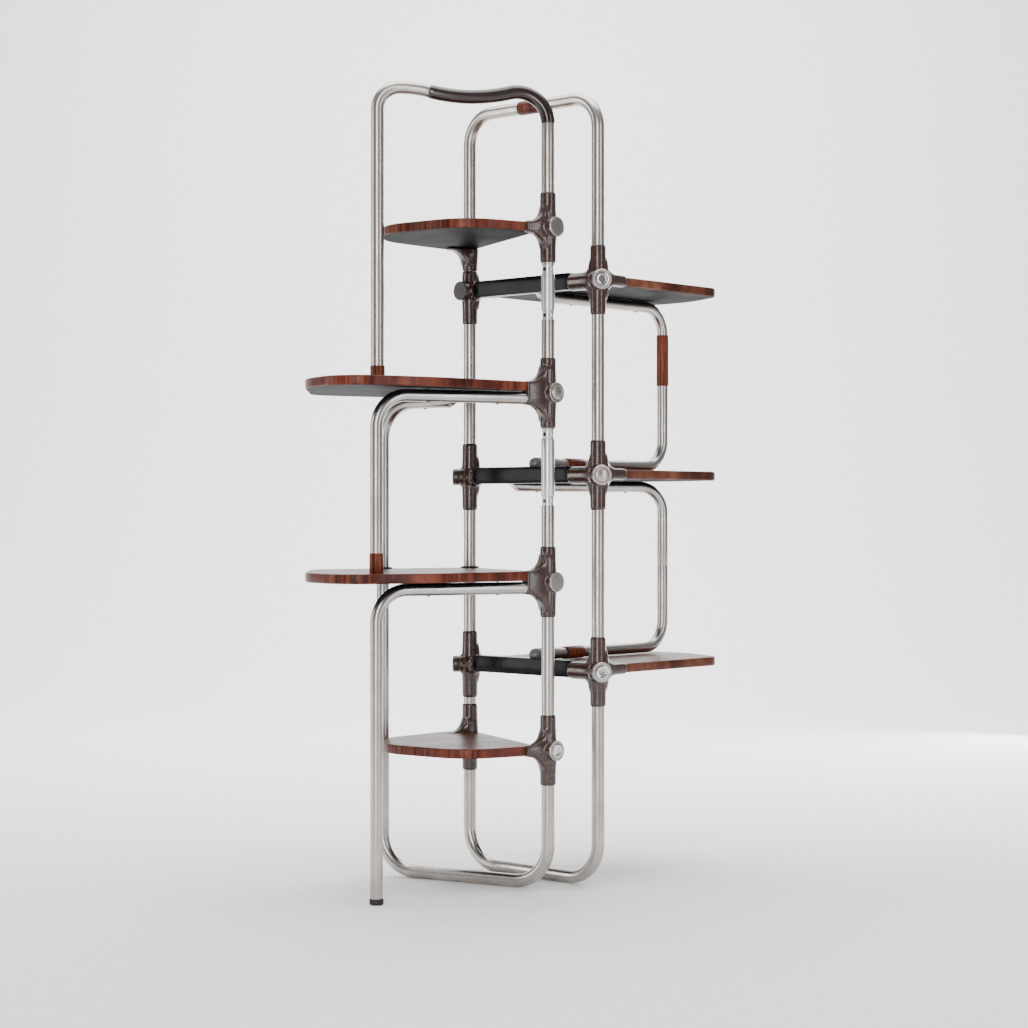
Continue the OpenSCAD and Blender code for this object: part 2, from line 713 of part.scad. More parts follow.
casting = "#54403a";
module small_front_clamp(z)
    color(casting) difference() {
        clamp(front_post, z, front_turn)
            arm(180, front_arm, left_t / 2 + arm_lip, left_t / 2 + arm_lip, clamp_half, clamp_half);
        left_blank(small_outline, z, shelf_gap);
    }
module large_front_clamp(z)
    color(casting) difference() {
        clamp(front_post, z, front_turn) arm(
            leg_turn, front_arm, large_bottom + left_t + arm_lip, leg_drop + leg_d / 2 + arm_lip,
            clamp_half, clamp_half, leg_d / 2 + fit_gap + arm_lip
        );
        left_blank(large_outline, z + large_lift, shelf_gap);
        at_post(front_post, z - leg_drop) radial(leg_turn, leg_start)
            cylinder(d = leg_d + 2 * fit_gap, h = front_arm);
    }
module front_clamp_1() small_front_clamp(shelf_1_z);
module front_clamp_2() large_front_clamp(shelf_2_z);
module front_clamp_3() large_front_clamp(shelf_3_z);
module front_clamp_7() small_front_clamp(shelf_7_z);

module shelf_jaw(up, down)
    arm(rail_turn, shelf_arm, right_top + arm_lip, arm_lip - right_bottom, up, down);
module right_clamp(z)
    color(casting) difference() {
        clamp(right_post, z, right_turn) {
            shelf_jaw(clamp_half, clamp_half);
            socket(rail_turn + 90, socket_l, clamp_half, clamp_half);
        }
        right_blank(z, shelf_gap);
        at_rail(z) translate([0, socket_l + past, 0]) rotate([90, 0, 0])
            cylinder(d = spigot_d + 2 * fit_gap, h = spigot_depth + 2 * past);
    }
module right_clamp_4() right_clamp(shelf_4_z);
module right_clamp_5() right_clamp(shelf_5_z);
module right_clamp_6() right_clamp(shelf_6_z);

module rear_clamp(z, head_turn, up = clamp_half)
    color(casting) difference() {
        clamp(rear_post, z, head_turn, up) {
            shelf_jaw(up, clamp_half);
            socket(rail_turn - 90, seat_l, up, clamp_half);
        }
        right_blank(z, shelf_gap);
    }
disc_knob_turn = 193;
side_knob_turn = 150;
module rear_clamp_4() rear_clamp(shelf_4_z, disc_knob_turn, rear_split - shelf_gap);
module rear_clamp_5() rear_clamp(shelf_5_z, side_knob_turn);
module rear_clamp_6() rear_clamp(shelf_6_z, side_knob_turn);
module rear_clamp_1() {
    top = shelf_1_z - left_t / 2;
    down = top - shelf_4_z - rear_split;
    color(casting) clamp(rear_post, top, 0, 0, down, false)
        arm(180, front_arm, 0, left_t / 2 + arm_lip, 0, down);
}
module rear_clamp_7()
    color(casting) difference() {
        clamp(rear_post, shelf_7_z, 0, clamp_half, clamp_half, false)
            arm(180, front_arm, left_t / 2 + arm_lip, left_t / 2 + arm_lip, clamp_half, clamp_half);
        difference() {
            left_blank(small_outline, shelf_7_z, shelf_gap);
            at_post(rear_post, 0) cylinder(r = clamp_r, h = total_h);
        }
    }

// Screws, covers and knobs in the clamps' bosses
screw_room = 0.5;
knob_gap = 0.4;
knob_bevel = 2;
disc_knob_t = 8;
washer_rim = 6;
head_play = 0.5;
dome_rise = 4;
dome_top = 8;
hex_r = 9;
screw_start = tube_d / 2 + fit_gap + screw_room;
module on_boss(post, z, turn) at_post(post, z) radial(turn, boss_face) children();
module shank(r = screw_d / 2)
    translate([0, 0, screw_start - boss_face]) cylinder(r = r, h = boss_face - screw_start + past);
module knob(post, z, turn, r, t)
    on_boss(post, z, turn) {
        shank();
        translate([0, 0, knob_gap]) cylinder(r = r, h = t - knob_bevel);
        translate([0, 0, knob_gap + t - knob_bevel]) cylinder(r1 = r, r2 = r - knob_bevel, h = knob_bevel);
    }
module rear_knob_4() color("#5b504b") knob(rear_post, shelf_4_z, disc_knob_turn, disc_r, disc_knob_t);
module rear_knob_5() color("#4c4340") knob(rear_post, shelf_5_z, side_knob_turn, knob_r, knob_t);
module rear_knob_6() color("#4c4340") knob(rear_post, shelf_6_z, side_knob_turn, knob_r, knob_t);

module cover_discs() {
    color("#b5ada6") {
        for (z = [shelf_1_z, shelf_3_z]) on_boss(front_post, z, front_turn) {
            shank();
            cylinder(r = disc_r, h = disc_t);
        }
        on_boss(front_post, shelf_2_z, front_turn) dome_cap();
        on_boss(right_post, shelf_5_z, right_turn) dome_cap();
    }
}
washer_in = disc_r - washer_rim;
module dome_cap() {
    shank();
    cylinder(r = washer_in - head_play, h = disc_t);
    translate([0, 0, disc_t]) intersection() {
        translate([0, 0, dome_rise - 2 * disc_r]) sphere(r = 2 * disc_r, $fn = 128);
        cylinder(r = washer_in - head_play - past, h = dome_top);
    }
}
module clamp_bolts() {
    places = [
        [front_post, shelf_7_z, front_turn], [right_post, shelf_4_z, right_turn],
        [right_post, shelf_6_z, right_turn]
    ];
    color("gainsboro") for (p = places) on_boss(p[0], p[1], p[2]) {
        shank();
        difference() {
            cylinder(r = washer_in - head_play, h = disc_t + past);
            translate([0, 0, past]) cylinder(r = hex_r, h = dome_top, $fn = 6);
        }
    }
}
module bolt_washers() {
    places = [
        [front_post, shelf_2_z, front_turn], [front_post, shelf_7_z, front_turn],
        [right_post, shelf_4_z, right_turn], [right_post, shelf_5_z, right_turn],
        [right_post, shelf_6_z, right_turn]
    ];
    color("#9c948e") for (p = places) on_boss(p[0], p[1], p[2]) difference() {
        cylinder(r = disc_r, h = disc_t);
        translate([0, 0, -past]) cylinder(r = washer_in, h = disc_t + 2 * past);
    }
}

// Rails
module rail(z)
    color("#15181c") at_rail(z) {
        translate([0, rail_l - seat_l, rail_lift]) rotate([90, 0, 0])
            linear_extrude(rail_l - seat_l - socket_l) intersection() {
                translate([-rail_front, -rail_h / 2]) square([rail_front + rail_back, rail_h]);
                translate([rail_bow_r - rail_front, 0]) circle(r = rail_bow_r, $fn = 200);
            }
        translate([0, socket_l, 0]) rotate([90, 0, 0]) cylinder(d = spigot_d, h = spigot_depth);
    }
module rail_4() rail(shelf_4_z);
module rail_5() rail(shelf_5_z);
module rail_6() rail(shelf_6_z);

// Shelves
ring_hole_d = tube_d + 2 * (fit_gap + ring_wall);
module post_hole(post, d) at_post(post, 0) cylinder(d = d, h = total_h);
module large_shelf(z, posts)
    color("#6e342a") difference() {
        left_blank(large_outline, z + large_lift);
        for (p = posts) post_hole(p, ring_hole_d);
        arm_screw_holes();
    }
module right_shelf(z)
    color("#6e342a") difference() {
        right_blank(z);
        arm_screw_holes();
    }
module shelf_1()
    color("#6e342a") difference() {
        left_blank(small_outline, shelf_1_z);
        post_hole(rear_post, tube_d + 2 * fit_gap);
    }
module shelf_2() large_shelf(shelf_2_z, [rear_post]);
module shelf_3() large_shelf(shelf_3_z, [rear_post, back_post]);
module shelf_4() right_shelf(shelf_4_z);
module shelf_5() right_shelf(shelf_5_z);
module shelf_6() right_shelf(shelf_6_z);
module shelf_7()
    color("#6e342a") difference() {
        left_blank(small_outline, shelf_7_z);
        post_hole(rear_post, 2 * clamp_r);
    }
ring_l = 4;
module rubber_rings() {
    places = [[rear_post, shelf_2_z], [rear_post, shelf_3_z], [back_post, shelf_3_z]];
    color("#241d1b") {
        for (p = places) at_post(p[0], p[1] + large_bottom) difference() {
            union() {
                cylinder(d = ring_hole_d, h = left_t);
                translate([0, 0, left_t]) cylinder(d = ring_d, h = ring_h);
            }
            translate([0, 0, -past]) cylinder(d = tube_d + 2 * fit_gap, h = left_t + ring_h + 2 * past);
        }
        at_rail(shelf_6_z + side_over) translate([side_sleeve_at - ring_l - past, side_at, 0])
            rotate([0, 90, 0]) pipe(side_d + 2 * (fit_gap + sleeve_wall), side_d + 2 * fit_gap, ring_l);
    }
}

// Side handles, in the plane across the rail: x runs out from the rail
module side_plane() at_rail(0) translate([0, side_at, 0]) rotate([90, 0, 0]) children();

// Slanted cut of an arm's open end
scarf_turn = 50;
module scarf(d) rotate(scarf_turn) translate([-3 * d, -d, -d]) cube([3 * d, 2 * d, 2 * d]);

module upper_side_tube()
    color("silver") difference() {
        side_plane() difference() {
            bent_tube([
                [side_out - upper_side_arm, shelf_4_z + side_under], [side_out, shelf_4_z + side_under, side_r],
                [side_out, shelf_5_z + side_over, side_r], [side_out - side_low_arm, shelf_5_z + side_over]
            ], side_d, side_in);
            translate([side_out - upper_side_arm + side_d / 2, shelf_4_z + side_under]) scarf(side_d);
        }
        arm_screw_holes();
    }
module lower_side_top_tube()
    color("silver") difference() {
        at_rail(0) translate([side_out, side_at, 0]) rotate([0, 0, -lower_side_turn]) rotate([90, 0, 0])
            difference() {
                bent_tube([
                    [-lower_side_arm, shelf_5_z + side_under], [0, shelf_5_z + side_under, side_r],
                    [0, side_joint_z]
                ], side_d, side_in);
                translate([side_d / 2 - lower_side_arm, shelf_5_z + side_under]) scarf(side_d);
            }
        arm_screw_holes();
    }
module lower_side_bottom_tube()
    color("silver") side_plane() bent_tube([
        [side_out, side_joint_z], [side_out, shelf_6_z + side_over, side_r],
        [side_out - side_low_arm, shelf_6_z + side_over]
    ], side_d, side_in);
module side_wood_sleeves() {
    grip_top = shelf_4_z + side_under - side_r;
    outer = side_d + 2 * (fit_gap + sleeve_wall);
    color("#8a4630") {
        at_rail(grip_top - side_grip_l) translate([side_out, side_at, 0])
            pipe(outer, side_d + 2 * fit_gap, side_grip_l);
        for (z = [shelf_5_z, shelf_6_z]) at_rail(z + side_over)
            translate([side_sleeve_at, side_at, 0]) rotate([0, 90, 0])
                pipe(outer, side_d + 2 * fit_gap, side_sleeve_l);
    }
}
cap_front = 26;
cap_l = 44;
module side_end_caps() {
    outer = side_d + 2 * (fit_gap + sleeve_wall);
    at = side_out - side_low_arm;
    color("#3c3c46") for (z = [shelf_5_z, shelf_6_z]) difference() {
        at_rail(z + side_over) translate([0, side_at, 0]) {
            translate([at - cap_front, 0, 0]) rotate([0, 90, 0]) cylinder(d = outer, h = cap_l);
            translate([at - cap_front, 0, 0]) sphere(d = outer);
        }
        side_plane() translate([at, z + side_over]) rotate([0, 90, 0])
            cylinder(d = side_d + 2 * fit_gap, h = cut_past);
        right_blank(z, fit_gap);
        at_rail(z + rail_lift) translate([-cut_past, 0, -rail_h])
            cube([cut_past + rail_back + head_play, rail_l, 1.5 * rail_h + 2 * fit_gap]);
    }
}

front_floor_hoop();
front_middle_post();
front_upper_post();
front_hoop_tube();
handgrip();
hoop_collar();
inner_joint_tubes();
upper_coupler_tube();
upper_coupler_sleeve();
lower_coupler_tube();
lower_coupler_sleeve();
upper_coupler_top_button();
upper_coupler_bottom_button();
lower_coupler_top_button();
lower_coupler_bottom_button();
button_springs();
middle_leg_tube();
leg_collar();
front_leg_tube();
foot_cap();
rear_floor_hoop();
rear_left_tube();
rear_right_tube();
rear_band();
front_clamp_1();
front_clamp_2();
front_clamp_3();
front_clamp_7();
right_clamp_4();
right_clamp_5();
right_clamp_6();
rear_clamp_1();
rear_clamp_4();
rear_clamp_5();
rear_clamp_6();
rear_clamp_7();
rear_knob_4();
rear_knob_5();
rear_knob_6();
cover_discs();
clamp_bolts();
bolt_washers();
rail_4();
rail_5();
rail_6();
shelf_1();
shelf_2();
shelf_3();
shelf_4();
shelf_5();
shelf_6();
shelf_7();
upper_side_tube();
lower_side_top_tube();
lower_side_bottom_tube();
side_wood_sleeves();
side_end_caps();
rubber_rings();
arm_screws();
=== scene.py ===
import math

import bmesh
import bpy
import numpy as np
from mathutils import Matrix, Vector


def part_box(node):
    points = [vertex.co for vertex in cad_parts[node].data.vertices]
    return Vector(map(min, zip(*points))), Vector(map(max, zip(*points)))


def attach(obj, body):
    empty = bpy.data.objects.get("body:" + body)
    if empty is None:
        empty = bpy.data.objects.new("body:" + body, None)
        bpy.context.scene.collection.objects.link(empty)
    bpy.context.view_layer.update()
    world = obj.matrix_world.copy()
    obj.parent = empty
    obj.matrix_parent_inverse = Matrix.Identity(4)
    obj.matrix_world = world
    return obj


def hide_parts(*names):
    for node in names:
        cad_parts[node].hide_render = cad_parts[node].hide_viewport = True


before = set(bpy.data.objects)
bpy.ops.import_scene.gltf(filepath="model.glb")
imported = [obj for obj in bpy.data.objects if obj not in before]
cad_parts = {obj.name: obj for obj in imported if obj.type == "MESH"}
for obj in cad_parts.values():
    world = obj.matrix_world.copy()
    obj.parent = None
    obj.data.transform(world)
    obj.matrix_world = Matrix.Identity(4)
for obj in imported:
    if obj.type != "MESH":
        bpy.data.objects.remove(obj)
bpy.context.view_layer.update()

print("frame loaded:", len(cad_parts), "pieces")

mm = 0.001

# Where the posts stand and the shelves sit, in millimetres from the front post and the floor
layout = dict(
    rearPost=(0, 344), rightPost=(115, -17), backPost=(-212, 359), legPost=(-397, 21), hoopPost=(-322, 166),
    shelfHeight={1: 1410, 2: 1058, 3: 656, 4: 1303, 5: 884, 6: 462, 7: 298},
    tube=28.0, leg=26.0, side=25.0, wall=1.9, fit=0.1, legGap=2.0, clampWall=3.0,
    largeLift=13.0, rightLift=3.0, boardThick=20.0, inset=24.0, passing=2.0,
)

lowBox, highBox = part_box("front_middle_post")
frontPost = np.array([(lowBox.x + highBox.x) / 2, (lowBox.y + highBox.y) / 2]) / mm
originPost = np.zeros(2)
rearPost, rightPost, backPost, legPost, hoopPost = (
    np.array(layout[name], float) for name in ("rearPost", "rightPost", "backPost", "legPost", "hoopPost"))
shelfZ, tubeD, legD, sideD, wall, thick = (
    layout[name] for name in ("shelfHeight", "tube", "leg", "side", "wall", "boardThick"))
railLine = rearPost - rightPost
railLength = float(np.hypot(*railLine))
railTurn = math.degrees(math.atan2(railLine[1], railLine[0])) - 90
largeBottom = layout["largeLift"] - thick / 2
legDrop = legD / 2 + layout["legGap"] - largeBottom
rightTop = layout["rightLift"] + thick / 2
rightBottom = layout["rightLift"] - thick / 2
sleeveRadius = tubeD / 2 + layout["fit"] + layout["clampWall"]


def toWorld(points):
    # millimetres from the front post become metres in the frame
    moved = np.array(points, float)
    moved[..., :2] += frontPost
    return moved * mm


def flatTurn(xy, degrees):
    # turns plan points by an angle
    a = math.radians(degrees)
    xy = np.asarray(xy, float)
    return np.stack([xy[..., 0] * math.cos(a) - xy[..., 1] * math.sin(a),
                     xy[..., 0] * math.sin(a) + xy[..., 1] * math.cos(a)], axis=-1)


def onRail(outward, along):
    # plan point measured out from the rail's line and along it
    return rightPost + flatTurn([outward, along], railTurn)


def linear(code, alpha=1.0):
    # sRGB hex to linear: each channel c becomes ((c + 0.055) / 1.055) ^ 2.4, or c / 12.92 near black
    c = np.array([int(code[i:i + 2], 16) for i in (1, 3, 5)]) / 255
    c = np.where(c <= 0.04045, c / 12.92, ((c + 0.055) / 1.055) ** 2.4)
    return (*c.tolist(), alpha)


def addNode(tree, kind, inputs=None, stops=None, **settings):
    # One node with its settings. An input is a value or another node's output, and stops are a ramp's colours.
    node = tree.nodes.new("ShaderNode" + kind)
    for key, value in settings.items():
        setattr(node, key, value)
    for key, value in (inputs or {}).items():
        if isinstance(value, bpy.types.NodeSocket):
            tree.links.new(value, node.inputs[key])
        else:
            node.inputs[key].default_value = value
    if stops:
        ramp = node.color_ramp
        while len(ramp.elements) < len(stops):
            ramp.elements.new(0.5)
        for element, (place, code) in zip(ramp.elements, stops):
            element.position = place
            element.color = linear(code) if isinstance(code, str) else (code, code, code, 1)
    return node


def newMaterial(name, build):
    material = bpy.data.materials.new(name)
    material.use_nodes = True
    tree = material.node_tree
    tree.nodes.clear()
    shader = build(tree)
    out = tree.nodes.new("ShaderNodeOutputMaterial")
    tree.links.new(shader.outputs["BSDF"], out.inputs["Surface"])
    return material


metalLook = dict(
    # bright, dull, lowest roughness, highest roughness
    satinTube=("#c3beba", "#9f9892", 0.22, 0.34),
    chromeTube=("#dddbd9", "#c3c0be", 0.28, 0.4),
    satinNickel=("#c9c1bb", "#a39a94", 0.24, 0.38),
    polishedChrome=("#ecebea", "#cfcecd", 0.05, 0.14),
    springSteel=("#6d6a68", "#4b4846", 0.30, 0.45),
)
# how many scratches and clouds come to a metre, how much the clouds count, and the scratches' depth in metres
brushing = dict(alongTube=(3.0, 700.0, 3.0), allRound=(60.0, 60.0, 60.0), clouds=16.0, lift=0.12, depth=0.0003)


def brushedMetal(look, alongUv):
    # Drawn tube, rubbed lengthwise: long fine scratches 0.4 mm apart (drawn 1.5 mm apart so that they show)
    # give a highlight stretched across the tube, and handling leaves soft duller clouds 60 mm wide.
    bright, dull, low, high = metalLook[look]

    def build(tree):
        coord = addNode(tree, "TexCoord")
        source = coord.outputs["UV" if alongUv else "Object"]
        spread = brushing["alongTube" if alongUv else "allRound"]
        streaks = addNode(tree, "Mapping", {"Vector": source, "Scale": spread})
        scratch = addNode(tree, "TexNoise", {"Vector": streaks.outputs["Vector"], "Scale": 1.0, "Detail": 5.0})
        clouds = addNode(tree, "TexNoise", {"Vector": coord.outputs["Object"], "Scale": brushing["clouds"],
                                            "Detail": 4.0, "Roughness": 0.6})
        both = addNode(tree, "Math", {0: scratch.outputs["Fac"], 1: clouds.outputs["Fac"], 2: brushing["lift"]},
                       operation="MULTIPLY_ADD")
        colour = addNode(tree, "ValToRGB", {"Fac": both.outputs["Value"]},
                         stops=[(0.25, dull), (0.55, bright)])
        rough = addNode(tree, "MapRange", {"Value": both.outputs["Value"], "From Min": 0.2, "From Max": 0.6,
                                           "To Min": high, "To Max": low})
        bump = addNode(tree, "Bump", {"Height": scratch.outputs["Fac"], "Strength": 0.03,
                                      "Distance": brushing["depth"]})
        return addNode(tree, "BsdfPrincipled", {
            "Base Color": colour.outputs["Color"], "Metallic": 1.0, "Roughness": rough.outputs["Result"],
            "Normal": bump.outputs["Normal"]})
    return build


mouldedLook = dict(
    # dark, middle, light, gloss, grain per metre
    casting=("#1b1110", "#33221d", "#543a31", 0.2, 150.0),
    knob=("#1b1614", "#302725", "#4a3f3b", 0.32, 170.0),
    grip=("#120a09", "#1e110e", "#2e1a16", 0.14, 90.0),
    cap=("#3f3f46", "#5a5a61", "#77777e", 0.3, 220.0),
)


def mouldedResin(look):
    # Marbled phenolic moulding, pressed in a polished die: brown swirls 7 mm wide with dark flecks under a
    # clear gloss, so highlights stay sharp while the brown breaks up; the skin has a faint orange peel.
    dark, middle, light, gloss, grain = mouldedLook[look]

    def build(tree):
        coord = addNode(tree, "TexCoord")
        swirl = addNode(tree, "TexNoise", {"Vector": coord.outputs["Object"], "Scale": grain, "Detail": 6.0,
                                           "Roughness": 0.62, "Distortion": 1.4})
        fleck = addNode(tree, "TexNoise", {"Vector": coord.outputs["Object"], "Scale": grain * 5,
                                           "Detail": 3.0})
        mixed = addNode(tree, "Math", {0: swirl.outputs["Fac"], 1: 0.72}, operation="MULTIPLY")
        total = addNode(tree, "Math", {0: fleck.outputs["Fac"], 1: 0.28, 2: mixed.outputs["Value"]},
                        operation="MULTIPLY_ADD")
        colour = addNode(tree, "ValToRGB", {"Fac": total.outputs["Value"]},
                         stops=[(0.36, dark), (0.5, middle), (0.64, light)])
        rough = addNode(tree, "MapRange", {"Value": swirl.outputs["Fac"], "From Min": 0.3, "From Max": 0.7,
                                           "To Min": gloss + 0.1, "To Max": gloss})
        peel = addNode(tree, "Bump", {"Height": total.outputs["Value"], "Strength": 0.12, "Distance": 0.0006})
        return addNode(tree, "BsdfPrincipled", {
            "Base Color": colour.outputs["Color"], "Roughness": rough.outputs["Result"], "IOR": 1.52,
            "Coat Weight": 0.12, "Coat Roughness": 0.06, "Normal": peel.outputs["Normal"]})
    return build


woodLook = dict(
    # dark, middle, light, gloss, whether the grain turns with the rail, growth lines per metre along x, y and z
    leftBoard=("#2a100d", "#50251c", "#79402f", 0.3, 0, (7.0, 240.0, 4.0)),
    rightBoard=("#36190f", "#5c3325", "#805440", 0.3, 1, (7.0, 240.0, 4.0)),
    sleeve=("#42180f", "#66301f", "#8a4d34", 0.24, 0, (160.0, 160.0, 9.0)),
)


def lacqueredWood(look):
    # Rosewood veneer under polished lacquer: growth lines 4 mm apart run along the board, so a curved end
    # shows them as upright streaks; dark pores 0.3 mm wide (drawn 0.7 mm so that they show), and a clear coat.
    dark, middle, light, gloss, turned, line = woodLook[look]

    def build(tree):
        coord = addNode(tree, "TexCoord")
        turn = math.radians(-railTurn) * turned
        aligned = addNode(tree, "Mapping", {"Vector": coord.outputs["Object"], "Rotation": (0, 0, turn)})
        grain = addNode(tree, "Mapping", {"Vector": aligned.outputs["Vector"], "Scale": line})
        growth = addNode(tree, "TexNoise", {"Vector": grain.outputs["Vector"], "Scale": 1.0, "Detail": 7.0,
                                            "Roughness": 0.66, "Distortion": 0.5})
        poreMap = addNode(tree, "Mapping", {"Vector": aligned.outputs["Vector"],
                                            "Scale": tuple(v * 6 for v in line)})
        pores = addNode(tree, "TexNoise", {"Vector": poreMap.outputs["Vector"], "Scale": 1.0, "Detail": 4.0})
        figure = addNode(tree, "TexNoise", {"Vector": aligned.outputs["Vector"], "Scale": 11.0,
                                            "Detail": 3.0})
        lines = addNode(tree, "Math", {0: figure.outputs["Fac"], 1: 0.35, 2: growth.outputs["Fac"]},
                        operation="MULTIPLY_ADD")
        total = addNode(tree, "Math", {0: pores.outputs["Fac"], 1: 0.22, 2: lines.outputs["Value"]},
                        operation="MULTIPLY_ADD")
        colour = addNode(tree, "ValToRGB", {"Fac": total.outputs["Value"]},
                         stops=[(0.62, dark), (0.78, middle), (0.98, light)])
        bump = addNode(tree, "Bump", {"Height": pores.outputs["Fac"], "Strength": 0.08, "Distance": 0.0003})
        rough = addNode(tree, "MapRange", {"Value": total.outputs["Value"], "From Min": 0.55, "From Max": 1.0,
                                           "To Min": gloss + 0.14, "To Max": gloss})
        return addNode(tree, "BsdfPrincipled", {
            "Base Color": colour.outputs["Color"], "Roughness": rough.outputs["Result"], "IOR": 1.5,
            "Specular IOR Level": 0.13, "Coat Weight": 0.03, "Coat Roughness": 0.12,
            "Normal": bump.outputs["Normal"]})
    return build


darkLook = dict(
    # base, worn, gloss, coat, pattern per metre, strength of the surface's own reflection
    # the boards' underside: near-black painted shade for the dark under each board, not a real backing
    shadedUnderside=("#050508", "#0c0c12", 0.5, 0.0, 90.0, 0.02),
    enamel=("#06080b", "#0e1217", 0.24, 0.02, 40.0, 0.09),
    rubber=("#12100f", "#262221", 0.62, 0.0, 400.0, 0.4),
)


def darkCoating(look):
    # Near-black surfaces: the boards' underside, which is painted shade for the dark under each board rather
    # than a backing of its own, stoved enamel, or moulded rubber: a near-black skin with a faint cloud (wear on
    # the enamel and rubber), and fine unevenness that makes the reflections waver a little, or in rubber a dull
    # skin.
    base, worn, gloss, coat, scale, sheen = darkLook[look]

    def build(tree):
        coord = addNode(tree, "TexCoord")
        cloud = addNode(tree, "TexNoise", {"Vector": coord.outputs["Object"], "Scale": scale, "Detail": 5.0})
        slow = addNode(tree, "TexNoise", {"Vector": coord.outputs["Object"], "Scale": 14.0, "Detail": 3.0})
        both = addNode(tree, "Math", {0: cloud.outputs["Fac"], 1: slow.outputs["Fac"]}, operation="MULTIPLY")
        colour = addNode(tree, "ValToRGB", {"Fac": both.outputs["Value"]}, stops=[(0.15, base), (0.4, worn)])
        rough = addNode(tree, "MapRange", {"Value": slow.outputs["Fac"], "From Min": 0.35, "From Max": 0.65,
                                           "To Min": gloss, "To Max": gloss + 0.06})
        bump = addNode(tree, "Bump", {"Height": cloud.outputs["Fac"], "Strength": 0.05, "Distance": 0.0005})
        return addNode(tree, "BsdfPrincipled", {
            "Base Color": colour.outputs["Color"], "Roughness": rough.outputs["Result"], "IOR": 1.5,
            "Specular IOR Level": sheen, "Coat Weight": coat, "Coat Roughness": 0.06,
            "Normal": bump.outputs["Normal"]})
    return build


material = dict(
    satinTube=newMaterial("drawnSatinAluminiumTube", brushedMetal("satinTube", True)),
    chromeTube=newMaterial("chromedCouplerTube", brushedMetal("chromeTube", False)),
    sleeveMetal=newMaterial("polishedAluminiumSleeve", brushedMetal("chromeTube", True)),
    disc=newMaterial("satinNickelCover", brushedMetal("satinNickel", False)),
    bolt=newMaterial("polishedChromeBolt", brushedMetal("polishedChrome", False)),
    spring=newMaterial("blackenedSpringSteel", brushedMetal("springSteel", False)),
    casting=newMaterial("marbledPhenolicCasting", mouldedResin("casting")),
    knob=newMaterial("mouldedPhenolicKnob", mouldedResin("knob")),
    grip=newMaterial("glossyResinHandgrip", mouldedResin("grip")),
    cap=newMaterial("mouldedNylonCap", mouldedResin("cap")),
    leftBoard=newMaterial("lacqueredRosewoodAlongX", lacqueredWood("leftBoard")),
    rightBoard=newMaterial("lacqueredRosewoodAcrossRail", lacqueredWood("rightBoard")),
    sleeve=newMaterial("lacqueredPadaukSleeve", lacqueredWood("sleeve")),
    # near-black painted shade for the boards' undersides
    shadedUnderside=newMaterial("paintedShadeUnderside", darkCoating("shadedUnderside")),
    enamel=newMaterial("blackStovedEnamel", darkCoating("enamel")),
    rubber=newMaterial("mouldedBlackRubber", darkCoating("rubber")),
)
print("materials made:", len(material))


def ringFaces(rows, cols):
    # quads between neighbouring rings, as corner numbers in four columns
    i, j = np.meshgrid(np.arange(rows - 1), np.arange(cols), indexing="ij")
    k = (j + 1) % cols
    corners = [i * cols + j, i * cols + k, (i + 1) * cols + k, (i + 1) * cols + j]
    return np.stack(corners, -1).reshape(-1, 4)


def ringSolid(rings, uvRows=None):
    # A closed skin from rings of points: quads between the rings, and a fan to the middle of each end ring.
    # uvRows gives each ring's distance along the path, and the second coordinate runs round the ring.
    rings = np.asarray(rings, float)
    rows, cols, _ = rings.shape
    points = np.concatenate([rings.reshape(-1, 3), rings[:1].mean(1), rings[-1:].mean(1)])
    quads = ringFaces(rows, cols)
    j = np.arange(cols)
    k = (j + 1) % cols
    startPole, endPole, lastRow = rows * cols, rows * cols + 1, (rows - 1) * cols
    fans = np.concatenate([np.stack([np.full(cols, startPole), k, j], -1),
                           np.stack([np.full(cols, endPole), lastRow + j, lastRow + k], -1)])
    if uvRows is None:
        uvRows = np.zeros(rows)
    middleRing = rings[rows // 2]
    v = np.arange(cols + 1) * np.linalg.norm(middleRing - np.roll(middleRing, 1, 0), axis=1).mean()
    ii, jj = np.meshgrid(np.arange(rows - 1), np.arange(cols), indexing="ij")
    quadUv = np.stack([np.stack([uvRows[ii], v[jj]], -1), np.stack([uvRows[ii], v[jj + 1]], -1),
                       np.stack([uvRows[ii + 1], v[jj + 1]], -1), np.stack([uvRows[ii + 1], v[jj]], -1)], 2)
    fanUv = np.concatenate([
        np.stack([np.full((cols, 3), uvRows[0]), np.stack([v[:-1], v[1:], v[:-1]], -1)], -1),
        np.stack([np.full((cols, 3), uvRows[-1]), np.stack([v[:-1], v[:-1], v[1:]], -1)], -1)])
    return points, quads, fans, np.concatenate([quadUv.reshape(-1, 2), fanUv.reshape(-1, 2)])


def makePiece(name, solids, materials, nodes=(), body="frame", sharpAngle=35, faceMaterial=None):
    # Joins the solids into one mesh in the frame, with every face outward, and ties it to its body.
    # Points come in millimetres from the front post.
    points, faces, uv, start = [], [], [], 0
    for p, quads, fans, u in solids:
        points.append(toWorld(p))
        faces += (quads + start).tolist() + (fans + start).tolist()
        uv.append(u * mm)
        start += len(p)
    mesh = bpy.data.meshes.new(name)
    mesh.from_pydata(np.concatenate(points).tolist(), [], faces)
    layer = mesh.uv_layers.new(name="along")
    layer.data.foreach_set("uv", np.concatenate(uv).astype(np.float32).ravel())
    for m in materials:
        mesh.materials.append(m)
    if faceMaterial is not None:
        mesh.polygons.foreach_set("material_index", np.asarray(faceMaterial, np.int32))
    bm = bmesh.new()
    bm.from_mesh(mesh)
    bmesh.ops.recalc_face_normals(bm, faces=bm.faces)
    bm.to_mesh(mesh)
    bm.free()
    mesh.shade_smooth()
    mesh.set_sharp_from_angle(angle=math.radians(sharpAngle))
    piece = bpy.data.objects.new(name, mesh)
    bpy.context.scene.collection.objects.link(piece)
    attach(piece, body)
    if nodes:
        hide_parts(*nodes)
    return piece


